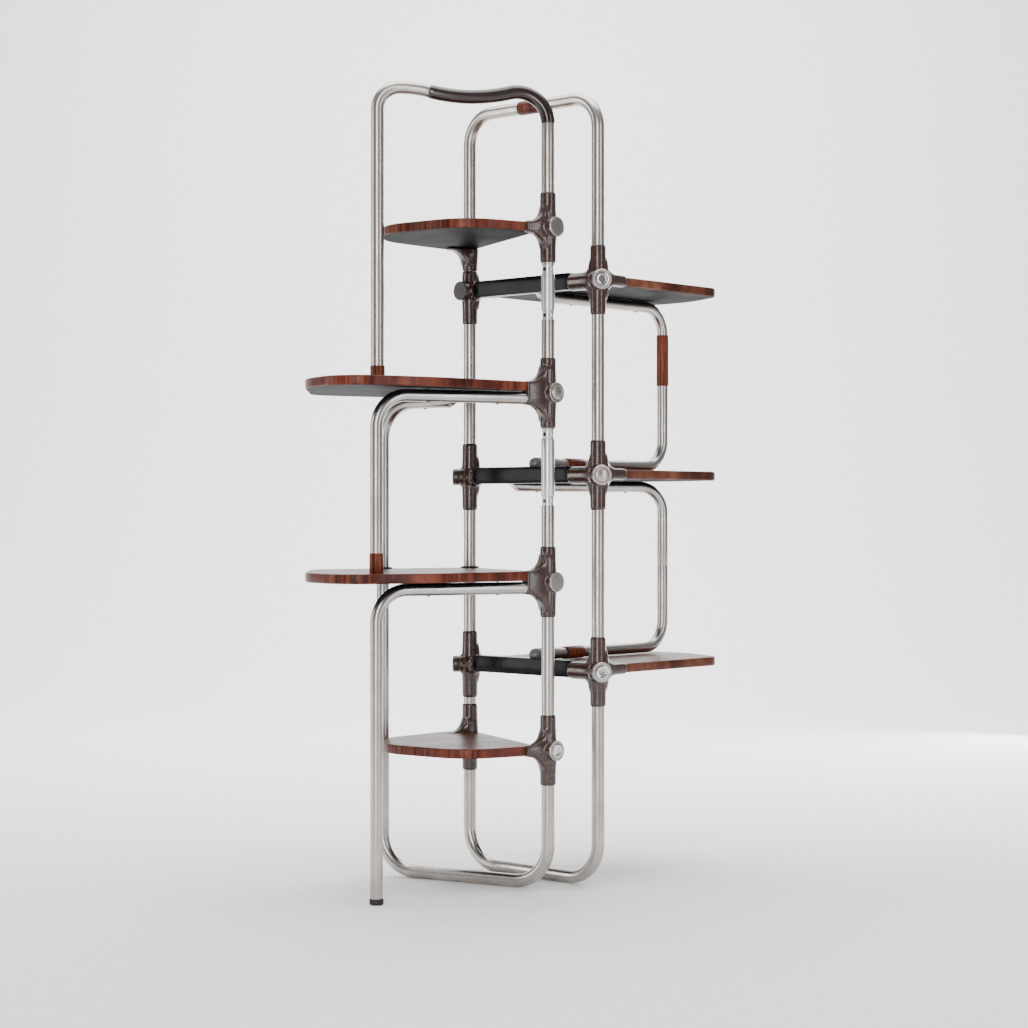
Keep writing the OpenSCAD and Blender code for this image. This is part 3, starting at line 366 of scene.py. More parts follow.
def segmentsOf(corners):
    # A route with rounded corners as straight runs and arcs: each arc takes r * tan(turn / 2) off both sides.
    p = np.array([c[:2] for c in corners], float)
    radii = np.array([c[2] if len(c) > 2 else 0 for c in corners], float)
    d = np.diff(p, axis=0)
    length = np.hypot(d[:, 0], d[:, 1])
    heading = np.degrees(np.arctan2(d[:, 1], d[:, 0]))
    turn = (np.diff(heading) + 180) % 360 - 180
    cut = np.zeros(len(p))
    cut[1:-1] = radii[1:-1] * np.tan(np.radians(np.abs(turn)) / 2)
    parts = []
    for i, run in enumerate(length - cut[:-1] - cut[1:]):
        parts.append((run, 0.0))
        if i < len(turn):
            parts.append((radii[i + 1] * math.radians(abs(turn[i])), turn[i]))
    return p[0], heading[0], parts


def walkPath(start, heading, parts, arcStep=3.0, runStep=60.0):
    # Points and headings along runs (length, 0) and arcs (length, turn): on an arc the heading changes evenly
    # with distance, and the point goes round a circle of radius length / turn.
    at, angle, gone = np.array(start, float), float(heading), 0.0
    allPoints, allAngles, allGone = [], [], []
    for length, turn in parts:
        if length < 1e-6:
            continue
        n = max(2, int(abs(turn) / arcStep) + 2 if turn else int(length / runStep) + 2)
        t = np.linspace(0, 1, n)
        a = np.radians(angle + turn * t)
        if turn:
            r = length / math.radians(turn)
            pts = at + r * np.stack([np.sin(a) - np.sin(a[0]), np.cos(a[0]) - np.cos(a)], -1)
        else:
            pts = at + t[:, None] * length * np.array([math.cos(a[0]), math.sin(a[0])])
        keep = slice(0 if not allPoints else 1, None)
        allPoints.append(pts[keep])
        allAngles.append(a[keep])
        allGone.append((gone + t * length)[keep])
        at, angle, gone = pts[-1], angle + turn, gone + length
    return np.concatenate(allPoints), np.concatenate(allAngles), np.concatenate(allGone)


def tubeRings(points, angles, gone, base, direction, radius, innerRadius, depth=40.0, rim=0.6, sides=48,
              openStart=True, slant=0.0, fadeLength=90):
    # A circle carried along a path in an upright plane. The radius follows the distance: it starts inside the
    # bore, turns over a small rounded rim, runs along outside and turns in again at the other end.
    direction = np.asarray(direction, float)
    along3 = np.stack([np.cos(angles) * direction[0], np.cos(angles) * direction[1], np.sin(angles)], -1)
    side = np.array([direction[1], -direction[0], 0.0])
    centre = np.stack([base[0] + points[:, 0] * direction[0], base[1] + points[:, 0] * direction[1],
                       points[:, 1]], -1)
    q = np.linspace(0, math.pi / 2, 4)
    bore = [(depth, innerRadius), (0.0, innerRadius)] if openStart else [(0.0, radius * 0.5)]
    startCap = bore + [(rim * (1 - math.cos(x)), radius - rim * (1 - math.sin(x))) for x in q]
    total = gone[-1]
    run = gone[(gone > rim * 1.5) & (gone < total - rim * 1.5)]
    distance = np.concatenate([[e[0] for e in startCap], run, [total - e[0] for e in startCap[::-1]]])
    radiusRow = np.concatenate([[e[1] for e in startCap], np.full(len(run), radius),
                                [e[1] for e in startCap[::-1]]])
    c = np.stack([np.interp(distance, gone, centre[:, k]) for k in range(3)], -1)
    t = np.stack([np.interp(distance, gone, along3[:, k]) for k in range(3)], -1)
    t /= np.linalg.norm(t, axis=1, keepdims=True)
    up = np.cross(side, t)
    a = np.linspace(0, 2 * math.pi, sides, endpoint=False)
    # a slanted end: the lower side is cut back by slant times its depth below the top, and that fades out
    back = slant * radius * (1 - np.sin(a)) if slant else a * 0
    fade = np.clip(1 - distance / fadeLength, 0, 1)
    rings = (c[:, None, :] + radiusRow[:, None, None] * (np.cos(a)[None, :, None] * side[None, None, :]
             + np.sin(a)[None, :, None] * up[:, None, :]))
    rings = rings + (fade[:, None] * back[None, :])[..., None] * t[:, None, :]
    return ringSolid(rings, distance)


def uprightTube(start, end, corners, outer, wall=None, **more):
    # a bent tube in the upright plane from one plan point towards another
    d = np.asarray(end, float) - np.asarray(start, float)
    first, heading, parts = segmentsOf(corners)
    path = walkPath(first, heading, parts)
    inner = outer / 2 - (layout["wall"] if wall is None else wall)
    return tubeRings(*path, start, d / np.hypot(*d), outer / 2, inner, **more)


def straightTube(post, low, high, outer, wall=None, **more):
    # an upright tube from one height to another
    return uprightTube(post, np.asarray(post) + [1, 0], [(0, low), (0, high)], outer, wall, **more)


# The bends of the tubes and the places along the top hoop, in millimetres
hoop = dict(
    top=1720.0, rearDrop=8.0, loopRadius=80.0, rearRadius=66.0, gripRadius=66.0, farRadius=46.0,
    backArm=170.0, slope=14.0, dipAt=163.0, gripEnd=252.0, grip=30.0, gripRim=1.8, cupFloor=3.0, armCut=1.1,
)
coupler = dict(
    highZ=1233.0, highL=78.0, lowZ=838.0, lowL=122.0, neck=20.0, sleeve=29.0, sleeveWall=2.0,
    buttonOut=3.6, buttonAt=10.0, buttonTurn=270,
)
leg = dict(radius=68.0, footFloor=3)
handle = dict(
    out=466.0, along=195.0, radius=62.0, upperArm=444, lowerArm=424, hiddenArm=-405, hiddenTurn=22.0,
    underGap=0.5, overGap=2.2, jointUp=218, jointGap=0.4, armCut=1.1,
)
collar = dict(over=3.4, wall=1.5, hoop=34, leg=41, sideGrip=119, lowSleeve=(116, 172), spacer=(111, 115),
              band=59.0, bandAt=194.0)
collarEnd = dict(rim=1.0, depth=6.0)

crest = hoop["top"] - tubeD / 2
rearCrest = crest - hoop["rearDrop"]
hoopWidth, legWidth, backWidth = (float(np.hypot(*post)) for post in (hoopPost, legPost, backPost))
slope = math.radians(hoop["slope"])
riseR = (hoopWidth - hoop["farRadius"] - hoop["gripEnd"]) / math.sin(slope)
dipR = (hoop["gripEnd"] - hoop["dipAt"]) / math.sin(slope)
gripEndZ = crest - riseR * (1 - math.cos(slope))
gripSlope = math.asin((hoop["dipAt"] - hoop["gripRadius"]) / (dipR + hoop["gripRadius"]))
gripLowZ = gripEndZ + dipR * math.cos(slope) - (dipR + hoop["gripRadius"]) * math.cos(gripSlope)
hoopLowZ = shelfZ[2] + layout["largeLift"] + thick / 2
sideUnder = rightBottom - handle["underGap"] - sideD / 2
sideOver = rightTop + handle["overGap"] + sideD / 2
jointZ = shelfZ[6] + handle["jointUp"]
armZ = shelfZ[2] - legDrop
legStart = sleeveRadius + layout["legGap"]
legTop = shelfZ[3] + largeBottom + thick
highTop = coupler["highZ"] + coupler["highL"]
lowTop = coupler["lowZ"] + coupler["lowL"]
neck = coupler["neck"]
hoopDirection = hoopPost / hoopWidth
acrossRail = flatTurn([1, 0], railTurn)
hiddenArmLine = flatTurn([1, 0], railTurn - handle["hiddenTurn"])
rail0 = onRail(0, handle["along"])
sideCorner = onRail(handle["out"], handle["along"])


def outFromRail(corners, outer, wallThick=None, **more):
    # a tube in the upright plane that stands out from the rail, where the side handles are
    return uprightTube(rail0, rail0 + acrossRail, corners, outer, wallThick, **more)


def tubePiece(name, node, solid):
    return makePiece(name, [solid], [material["satinTube"]], [node])


def woodSleeve(name, node, solids, wood="sleeve"):
    return makePiece(name, solids, [material[wood]], [node])


tubePiece("frontFloorHoop", "front_floor_hoop", uprightTube(backPost, originPost, [
    (hoop["backArm"], armZ), (0, armZ, hoop["loopRadius"]), (0, tubeD / 2, hoop["loopRadius"]),
    (backWidth, tubeD / 2, hoop["loopRadius"]), (backWidth, coupler["lowZ"] - neck)],
    tubeD, openStart=False, slant=-hoop["armCut"]))
tubePiece("frontMiddlePost", "front_middle_post",
          straightTube(originPost, lowTop + neck, coupler["highZ"] - neck, tubeD))
tubePiece("frontUpperPost", "front_upper_post", straightTube(originPost, highTop + neck, gripLowZ, tubeD))

# the silver part of the top hoop: off the handgrip's end, over the far bend and down to its collar
farParts = [(riseR * slope, -hoop["slope"]), (hoop["farRadius"] * math.pi / 2, -90.0),
            (crest - hoop["farRadius"] - hoopLowZ - hoop["cupFloor"], 0.0)]
path = walkPath((hoop["gripEnd"], gripEndZ), hoop["slope"], farParts, 1.5)
tubePiece("frontHoopTube", "front_hoop_tube",
          tubeRings(*path, originPost, hoopDirection, tubeD / 2, tubeD / 2 - wall))

# the handgrip: up the front post, over its bend, down to the dip and up again to where the tube starts
gripParts = [(hoop["gripRadius"] * (math.pi / 2 + gripSlope), -(90 + math.degrees(gripSlope))),
             (dipR * (gripSlope + slope), math.degrees(gripSlope) + hoop["slope"])]
path = walkPath((0, gripLowZ), 90.0, gripParts, 1.5)
gripSolid = tubeRings(*path, originPost, hoopDirection, hoop["grip"] / 2, tubeD / 2 - wall - 2 * layout["fit"],
                      rim=hoop["gripRim"], depth=0.5)
makePiece("handgrip", [gripSolid], [material["grip"]], ["handgrip"])

tubePiece("middleLegTube", "middle_leg_tube", uprightTube(originPost, legPost, [
    (legStart, armZ), (legWidth, armZ, leg["radius"]), (legWidth, legTop + hoop["cupFloor"])], legD))
tubePiece("frontLegTube", "front_leg_tube", uprightTube(originPost, legPost, [
    (legStart, shelfZ[3] - legDrop), (legWidth, shelfZ[3] - legDrop, leg["radius"]),
    (legWidth, leg["footFloor"])], legD))

tubePiece("rearFloorHoop", "rear_floor_hoop", uprightTube(rightPost, rearPost, [
    (0, shelfZ[6]), (0, tubeD / 2, hoop["loopRadius"]), (railLength, tubeD / 2, hoop["loopRadius"]),
    (railLength, shelfZ[7])], tubeD))
for name, node, end, foot in (("rearLeftTube", "rear_left_tube", railLength, shelfZ[7]),
                              ("rearRightTube", "rear_right_tube", 0, shelfZ[6])):
    tubePiece(name, node, uprightTube(rightPost, rearPost, [
        (collar["bandAt"], rearCrest), (end, rearCrest, hoop["rearRadius"]), (end, foot)], tubeD))

out, bend = handle["out"], handle["radius"]
tubePiece("upperSideHandle", "upper_side_tube", outFromRail([
    (out - handle["upperArm"], shelfZ[4] + sideUnder), (out, shelfZ[4] + sideUnder, bend),
    (out, shelfZ[5] + sideOver, bend), (out - handle["lowerArm"], shelfZ[5] + sideOver)],
    sideD, openStart=False, slant=handle["armCut"]))
tubePiece("lowerSideTop", "lower_side_top_tube", uprightTube(sideCorner, sideCorner + hiddenArmLine, [
    (handle["hiddenArm"], shelfZ[5] + sideUnder), (0, shelfZ[5] + sideUnder, bend),
    (0, jointZ + handle["jointGap"])], sideD, openStart=False, slant=handle["armCut"]))
tubePiece("lowerSideBottom", "lower_side_bottom_tube", outFromRail([
    (out, jointZ - handle["jointGap"]), (out, shelfZ[6] + sideOver, bend),
    (out - handle["lowerArm"], shelfZ[6] + sideOver)], sideD))

# sleeves, collars and bands round the tubes
bandOuter, sideOuter = tubeD + collar["over"], sideD + collar["over"]
cover = collar["wall"]
bandStart = collar["bandAt"] - collar["band"] / 2
bandEnd = collar["bandAt"] + collar["band"] / 2
woodSleeve("rearBand", "rear_band", [
    uprightTube(rightPost, rearPost, [(bandStart, rearCrest), (bandEnd, rearCrest)], bandOuter, cover,
                **collarEnd)], "leftBoard")
woodSleeve("hoopCollar", "hoop_collar", [
    straightTube(hoopPost, hoopLowZ, hoopLowZ + collar["hoop"], bandOuter, cover, **collarEnd)])
woodSleeve("legCollar", "leg_collar", [
    straightTube(legPost, legTop, legTop + collar["leg"], legD + collar["over"], cover, **collarEnd)])
gripTop = shelfZ[4] + sideUnder - bend
sleeveStart, sleeveEnd = collar["lowSleeve"]
woodSleeve("sideWoodSleeves", "side_wood_sleeves", [
    straightTube(sideCorner, gripTop - collar["sideGrip"], gripTop, sideOuter, cover, **collarEnd)]
    + [outFromRail([(sleeveStart, shelfZ[n] + sideOver), (sleeveEnd, shelfZ[n] + sideOver)], sideOuter, cover,
                   **collarEnd) for n in (5, 6)])
for label, low, high in (("upper", coupler["highZ"], highTop), ("lower", coupler["lowZ"], lowTop)):
    sleeve = straightTube(originPost, low, high, coupler["sleeve"], coupler["sleeveWall"], rim=1.0, depth=5.0)
    makePiece(label + "CouplerSleeve", [sleeve], [material["sleeveMetal"]], [label + "_coupler_sleeve"])
print("tubes and sleeves made")


def roundedOutline(corners, steps=10):
    # Each corner becomes an arc tangent to both its sides, with the corner's radius.
    p = np.array([c[:2] for c in corners], float)
    r = np.array([c[2] for c in corners], float)
    before, after = np.roll(p, 1, 0), np.roll(p, -1, 0)
    inHead = np.arctan2(*(p - before).T[::-1])
    outHead = np.arctan2(*(after - p).T[::-1])
    turn = (outHead - inHead + math.pi) % (2 * math.pi) - math.pi
    start = p - (r * np.tan(np.abs(turn) / 2))[:, None] * np.stack([np.cos(inHead), np.sin(inHead)], -1)
    t = np.linspace(0, 1, steps + 1)
    a = inHead[:, None] + turn[:, None] * t
    s = (r * np.sign(turn))[:, None]
    arc = np.stack([s * (np.sin(a) - np.sin(inHead)[:, None]), s * (np.cos(inHead)[:, None] - np.cos(a))], -1)
    return (start[:, None, :] + arc).reshape(-1, 2)


def evenOutline(outline, spacing=5.0):
    # the same outline with points at even distances, for regular faces
    closed = np.concatenate([outline, outline[:1]])
    step = np.hypot(*np.diff(closed, axis=0).T)
    gone = np.concatenate([[0], np.cumsum(step)])
    s = np.linspace(0, gone[-1], int(gone[-1] / spacing), endpoint=False)
    return np.stack([np.interp(s, gone, closed[:, 0]), np.interp(s, gone, closed[:, 1])], -1)


# The boards' reach from their posts and the rounding of their edges; a corner is (x, y, radius)
board = dict(edge=3.0, largeReach=520.0, smallReach=292.0, rightReach=487.0, innerRight=20.5, sharpAngle=50)
innerEdge = [(22, 384, 22), (-layout["inset"], -layout["passing"], 6)]
large, small, right = board["largeReach"], board["smallReach"], board["rightReach"]
largeOutline = roundedOutline(innerEdge + [
    (-0.577 * large, -54, 420), (8 - large, -50, 85), (10 - large, 130, 230), (148 - large, 395, 75)])
smallOutline = roundedOutline(innerEdge + [
    (-0.7 * small, -6, 110), (-small - 4, 200, 120), (66 - small, 324, 110), (-45, 386, 60)])
rightOutline = rightPost + flatTurn(roundedOutline([
    (board["innerRight"], railLength + 2, 6), (board["innerRight"], -2, 6), (right - 62, -2, 45),
    (right + 25, railLength / 2, 250), (right - 62, railLength + 2, 45)]), railTurn)


def boardPiece(name, outline, middleZ, wood, node):
    # A board as rings round its outline: shrinking rings fill the underside, a quarter circle turns the lower
    # edge, the side goes up, another turns the upper edge, and shrinking rings fill the top.
    outline = evenOutline(outline)
    ahead, behind = np.roll(outline, -1, 0), np.roll(outline, 1, 0)
    tangent = (ahead - behind) / np.linalg.norm(ahead - behind, axis=1, keepdims=True)
    area = np.sum(outline[:, 0] * ahead[:, 1] - ahead[:, 0] * outline[:, 1])
    outward = np.stack([tangent[:, 1], -tangent[:, 0]], -1) * np.sign(area)
    halfThick, edge = thick / 2, board["edge"]
    centre = outline.mean(0)
    q = np.linspace(0, math.pi / 2, 5)
    fill = np.array([0.02, 0.2, 0.4, 0.6, 0.8, 0.93])
    inner = outline - outward * edge
    rows = [centre + (inner - centre) * f for f in fill]
    heights = [-halfThick] * len(fill)
    rows += [outline - outward * edge * (1 - math.sin(x)) for x in q]
    heights += [-halfThick + edge * (1 - math.cos(x)) for x in q]
    rows += [outline - outward * edge * (1 - math.cos(x)) for x in q]
    heights += [halfThick - edge * (1 - math.sin(x)) for x in q]
    rows += [centre + (inner - centre) * f for f in fill[::-1]]
    heights += [halfThick] * len(fill)
    rings = np.stack([np.concatenate([row, np.full((len(row), 1), middleZ + h)], 1)
                      for row, h in zip(rows, heights)])
    # the underside's rings and the fan that closes them get the near-black painted shade, and the rest is wood
    cols = len(outline)
    firstFan = (len(rows) - 1) * cols
    which = np.zeros(firstFan + 2 * cols, int)
    which[:(len(fill) + 1) * cols] = 1
    which[firstFan:firstFan + cols] = 1
    return makePiece(name, [ringSolid(rings)], [material[wood], material["shadedUnderside"]], [node],
                     sharpAngle=board["sharpAngle"], faceMaterial=which)


boardKinds = (((1, 7), "left", smallOutline, 0), ((2, 3), "left", largeOutline, layout["largeLift"]),
              ((4, 5, 6), "right", rightOutline, layout["rightLift"]))
for numbers, side, outline, lift in boardKinds:
    for number in numbers:
        boardPiece(f"{side}Board{number}", outline, shelfZ[number] + lift, side + "Board", f"shelf_{number}")
print("boards made")

# The clamps' sizes; turns are in degrees, and the skin's voxel is in metres
clamp = dict(
    half=75.0, fillet=30.0, bossRadius=20.0, bossFace=24.0, armHalf=13.0, lip=3.0, voxel=0.0017, smooth=7,
    armReach=57, jawReach=86, socket=75, rearSocket=24, socketRadius=19.0, legHalf=16.1, legPower=5.0,
    shortUp=45.7, stubClear=46, stubDown=51, stubBottom=7.0, railLug=(42, 13, 13), railLugHalf=12,
    frontTurn=285.0, rightTurn=257.0, knobTurn={4: 193.0, 5: 150.0, 6: 150.0},
)
half, lip, armHalf, knobTurn = (clamp[name] for name in ("half", "lip", "armHalf", "knobTurn"))
frontTurn, rightTurn = clamp["frontTurn"], clamp["rightTurn"]


def levelAxes(turn):
    # the level direction at a turn, and the level direction square to it
    return np.array([*flatTurn([1, 0], turn), 0.0]), np.array([*flatTurn([0, 1], turn), 0.0])


def turnedRings(profile, turn=None, sides=48):
    # A profile of (distance along an axis, radius) turned round it. Without a turn the axis is upright, and
    # with one it is level and points that way.
    profile = np.asarray(profile, float)
    a = np.linspace(0, 2 * math.pi, sides, endpoint=False)
    ring = np.stack([np.outer(profile[:, 1], np.cos(a)), np.outer(profile[:, 1], np.sin(a)),
                     np.repeat(profile[:, :1], sides, 1)], -1)
    if turn is None:
        return ring
    axis, side = levelAxes(turn)
    return ring[..., 2:3] * axis + ring[..., 0:1] * side + ring[..., 1:2] * np.array([0, 0, 1.0])


def sleeveRings(up, down):
    # The sleeve's radius swells softly towards the middle, and a bead closes each end.
    bead, swell = 1.4, 2.6
    z = np.linspace(-down, up, 40)
    r = sleeveRadius + swell * np.exp(-(z / 30) ** 2)
    ends = bead * np.clip(1 - np.minimum(z + down, up - z) / bead, 0, 1) ** 2
    profile = np.stack([z, r - ends], -1)
    closing = sleeveRadius - 2.2
    return turnedRings(np.concatenate([[[-down, 2.0], [-down, closing]], profile, [[up, closing], [up, 2.0]]]))


def armRings(turn, reach, top, bottom, up, down, halfWidth, power=3.6):
    # A rounded box section drawn out from the sleeve. Its upper and lower lines fall from the sleeve in a
    # concave quarter circle, f(x) = r - sqrt(r^2 - (r - x)^2), and the width narrows evenly to the tip.
    tipLength, sides = 5, 48
    tipStart = reach - tipLength
    tipSteps = np.sin(np.linspace(0.2, math.pi / 2, 8))
    x = np.concatenate([np.linspace(0, tipStart, 34), tipStart + tipLength * tipSteps])
    tip = np.where(x > tipStart, np.sqrt(np.clip(1 - ((x - tipStart) / tipLength) ** 2, 0, 1)), 1.0)

    def fall(room):
        r = max(0.0, min(clamp["fillet"] + 6, room - 2))
        past = np.clip(x - sleeveRadius + 2, 0, r) if r else x * 0
        return (r - np.sqrt(np.clip(r * r - (r - past) ** 2, 0, None))) if r else x * 0

    taper = 1 - 0.06 * x / reach
    upper = top * taper + fall(up - top)
    lower = bottom * taper + fall(down - bottom)
    halfHigh = (upper + lower) / 2 - tipLength * (1 - tip)
    middle = (upper - lower) / 2
    root = 5.0 * np.exp(-np.clip(x - 12, 0, None) / 9)
    width = halfWidth * (1.06 - 0.14 * x / reach) + root - tipLength * (1 - tip)
    a = np.linspace(0, 2 * math.pi, sides, endpoint=False)
    c, s = np.cos(a), np.sin(a)
    across = np.sign(c) * np.abs(c) ** (2 / power)
    height = np.sign(s) * np.abs(s) ** (2 / power)
    ring = np.stack([np.repeat(x[:, None], sides, 1), width[:, None] * across,
                     middle[:, None] + halfHigh[:, None] * height], -1)
    axis, side = levelAxes(turn)
    return ring[..., 0:1] * axis + ring[..., 1:2] * side + ring[..., 2:3] * np.array([0, 0, 1.0])


def socketRings(turn, length):
    # A round socket: a cylinder that swells towards the sleeve and has a soft rim at its mouth.
    t = np.linspace(0, length, 26)
    rim = 1.6 * np.clip(1 - (length - t) / 2.2, 0, 1) ** 2
    r = clamp["socketRadius"] + 5 * np.exp(-t / 16) - rim
    return turnedRings(np.concatenate([[[0, 2]], np.stack([t, r], -1), [[length, 2]]]), turn)


def bossRings(turn):
    # The boss: a cylinder with a soft edge that widens where it leaves the sleeve.
    face = clamp["bossFace"]
    t = np.linspace(0, face, 20)
    edge = 1.0 * np.clip(1 - (face - t) / 1.5, 0, 1) ** 2
    r = clamp["bossRadius"] + 4 * np.exp(-np.clip(t - 10, 0, None) / 4) - edge
    return turnedRings(np.concatenate([[[0, 2]], np.stack([t, r], -1), [[face, 2]]]), turn)


def castingPiece(name, post, z, parts, node):
    # The parts of a casting are joined, skinned over as one body and rubbed smooth, so they meet in fillets.
    at = np.array([*post, z], float)
    piece = makePiece(name, [ringSolid(p + at) for p in parts], [material["casting"]], [node],
                      sharpAngle=180)
    skin = piece.modifiers.new("oneSkin", "REMESH")
    skin.mode, skin.voxel_size, skin.use_smooth_shade = "VOXEL", clamp["voxel"], True
    rub = piece.modifiers.new("rubbedSmooth", "SMOOTH")
    rub.factor, rub.iterations = 0.5, clamp["smooth"]
    return piece


legTurn = math.degrees(math.atan2(legPost[1], legPost[0]))
smallArm = armRings(180, clamp["armReach"], thick / 2 + lip, thick / 2 + lip, half, half, armHalf)
legArm = armRings(legTurn, clamp["armReach"], largeBottom + thick + lip, legDrop + legD / 2 + lip, half, half,
                  clamp["legHalf"], clamp["legPower"])
jaw = (clamp["jawReach"], rightTop + lip, lip - rightBottom)
for number, arm in ((1, smallArm), (7, smallArm), (2, legArm), (3, legArm)):
    castingPiece(f"frontClamp{number}", originPost, shelfZ[number],
                 [sleeveRings(half, half), bossRings(frontTurn), arm], f"front_clamp_{number}")
for number in (4, 5, 6):
    castingPiece(f"rightClamp{number}", rightPost, shelfZ[number], [
        sleeveRings(half, half), bossRings(rightTurn), armRings(railTurn, *jaw, half, half, armHalf),
        socketRings(railTurn + 90, clamp["socket"]),
        armRings(railTurn + 90, *clamp["railLug"], half, half, clamp["railLugHalf"])], f"right_clamp_{number}")
    up = clamp["shortUp"] if number == 4 else half
    castingPiece(f"rearClamp{number}", rearPost, shelfZ[number], [
        sleeveRings(up, half), bossRings(knobTurn[number]), armRings(railTurn, *jaw, up, half, armHalf),
        socketRings(railTurn - 90, clamp["rearSocket"])], f"rear_clamp_{number}")
lowest = shelfZ[1] - thick / 2
stubArm = armRings(180, clamp["armReach"], 0.0, clamp["stubBottom"], 0, clamp["stubDown"], armHalf)
castingPiece("rearClamp1", rearPost, lowest,
             [sleeveRings(0, lowest - shelfZ[4] - clamp["stubClear"]), stubArm], "rear_clamp_1")
castingPiece("rearClamp7", rearPost, shelfZ[7], [sleeveRings(half, half), smallArm], "rear_clamp_7")
print("clamps made")


def onBoss(post, z, turn):
    # where a boss's face is
    return np.array([*post, z], float) + levelAxes(turn)[0] * clamp["bossFace"]


def headSolid(profile, post, z, turn, sides=64, hexFrom=None):
    # A profile of (distance out from the boss's face, radius) turned round the boss's axis. Rings from
    # hexFrom on are six-sided: r / cos(angle from the nearest flat).
    profile = np.asarray(profile, float)
    rings = turnedRings(profile, turn, sides)
    if hexFrom is not None:
        a = np.linspace(0, 2 * math.pi, sides, endpoint=False)
        flat = 1 / np.cos((a + math.pi / 6) % (math.pi / 3) - math.pi / 6)
        onAxis = profile[:, 0][:, None, None] * levelAxes(turn)[0]
        grown = onAxis + (rings - onAxis) * flat[None, :, None]
        rings = np.concatenate([rings[:hexFrom], grown[hexFrom:]])
    return ringSolid(rings + onBoss(post, z, turn))


# Profiles as (distance along the axis, radius), in millimetres
shank = [(-9.4, 0.5), (-9.4, 4.0), (-0.05, 4.0)]
profiles = dict(
    flatCover=shank + [(0.0, 20.8), (0.5, 21.4), (3.0, 21.5), (3.6, 21.2), (3.95, 20.4), (4.0, 19.4),
                       (3.6, 19.0), (3.6, 18.6), (3.95, 18.2), (4.0, 12.0), (4.0, 0.6)],
    domedCover=shank + [(0.0, 15.0), (3.6, 15.0), (4.1, 14.6), (4.6, 13.9), (5.4, 11.0), (6.3, 7.0),
                        (6.8, 3.0), (6.9, 0.5)],
    bolt=shank + [(0.0, 15.0), (4.2, 15.0), (4.8, 14.6), (5.0, 13.9), (5.0, 11.0), (4.7, 9.4), (4.2, 8.9),
                  (1.2, 8.7), (1.0, 0.6)],
    discKnob=shank + [(0.4, 20.6), (0.9, 21.4), (6.0, 21.5), (7.3, 20.9), (8.1, 19.6), (8.2, 18.0),
                      (7.6, 17.2), (7.4, 10.0), (7.4, 0.6)],
    roundKnob=shank + [(0.4, 16.8), (1.0, 18.2), (4.0, 18.5), (4.4, 17.9), (5.0, 17.9), (5.4, 18.5),
                       (11.5, 18.5), (13.4, 17.8), (14.8, 16.0), (15.2, 13.6), (14.9, 12.6), (14.4, 11.8),
                       (14.2, 0.6)],
    # measured back from the button's tip
    button=[(-7.2, 0.4), (-7.2, 5.0), (-6.4, 5.0), (-6.4, 4.0), (-1.4, 4.0), (-0.7, 3.7), (-0.25, 3.0),
            (0.0, 1.8), (0.0, 0.3)],
    foot=[(0.0, 1.0), (0.0, 11.5), (0.6, 13.4), (2.0, 14.6), (11.2, 14.7), (12.0, 14.2), (12.0, 13.2),
          (11.0, 13.1), (11.0, 1.0)],
    ring=[(0.0, 1.0), (0.0, 17.1), (20.0, 17.1), (20.0, 20.2), (20.8, 21.0), (22.6, 20.8), (24.0, 18.6),
          (24.0, 14.2), (23.0, 1.0)],
)
boltHexFrom = 9
domePlaces = ((originPost, 2, frontTurn), (rightPost, 5, rightTurn))
boltPlaces = ((originPost, 7, frontTurn), (rightPost, 4, rightTurn), (rightPost, 6, rightTurn))
makePiece("coverDiscs", [headSolid(profiles["flatCover"], originPost, shelfZ[n], frontTurn) for n in (1, 3)]
          + [headSolid(profiles["domedCover"], p, shelfZ[n], t) for p, n, t in domePlaces],
          [material["disc"]], ["cover_discs"])
makePiece("clampBolts", [headSolid(profiles["bolt"], p, shelfZ[n], t, hexFrom=boltHexFrom)
                         for p, n, t in boltPlaces], [material["bolt"]], ["clamp_bolts"])


def washerSolid(post, z, turn, outer=21.5, hole=15.5, deep=4.0, edge=0.9, sides=64):
    # A ring: a rounded rectangle section carried round the boss's axis, closed on itself by a thin seam.
    t = np.array([deep * 0.5, deep - edge, deep, deep, deep - edge, edge, 0, 0, edge, deep * 0.5])
    r = np.array([hole, hole, hole + edge, outer - edge, outer, outer, outer - edge, hole + edge, hole, hole])
    rings = turnedRings(np.stack([t, r], -1), turn, sides)
    points = (rings[:-1] + onBoss(post, z, turn)).reshape(-1, 3)
    rows = len(t) - 1
    i, j = np.meshgrid(np.arange(rows), np.arange(sides), indexing="ij")
    n, k = (i + 1) % rows, (j + 1) % sides
    quads = np.stack([i * sides + j, i * sides + k, n * sides + k, n * sides + j], -1).reshape(-1, 4)
    return points, quads, np.zeros((0, 3), int), np.zeros((len(quads) * 4, 2))


makePiece("boltWashers", [washerSolid(p, shelfZ[n], t) for p, n, t in boltPlaces + domePlaces],
          [material["disc"]], ["bolt_washers"])
for number, shape in ((4, "discKnob"), (5, "roundKnob"), (6, "roundKnob")):
    node = f"rear_knob_{number}"
    makePiece(f"rearKnob{number}", [headSolid(profiles[shape], rearPost, shelfZ[number], knobTurn[number])],
              [material["knob"]], [node], node)

buttonTip = (tubeD - 2 * wall) / 2 - layout["fit"] + coupler["buttonOut"] - clamp["bossFace"]
buttonProfile = [(buttonTip + x, r) for x, r in profiles["button"]]
for label, z in (("upper_coupler_top", highTop + coupler["buttonAt"]),
                 ("upper_coupler_bottom", coupler["highZ"] - coupler["buttonAt"]),
                 ("lower_coupler_top", lowTop + coupler["buttonAt"]),
                 ("lower_coupler_bottom", coupler["lowZ"] - coupler["buttonAt"])):
    node = label + "_button"
    makePiece(label.replace("_", "-") + "-button",
              [headSolid(buttonProfile, originPost, z, coupler["buttonTurn"], 40)],
              [material["bolt"]], [node], node)

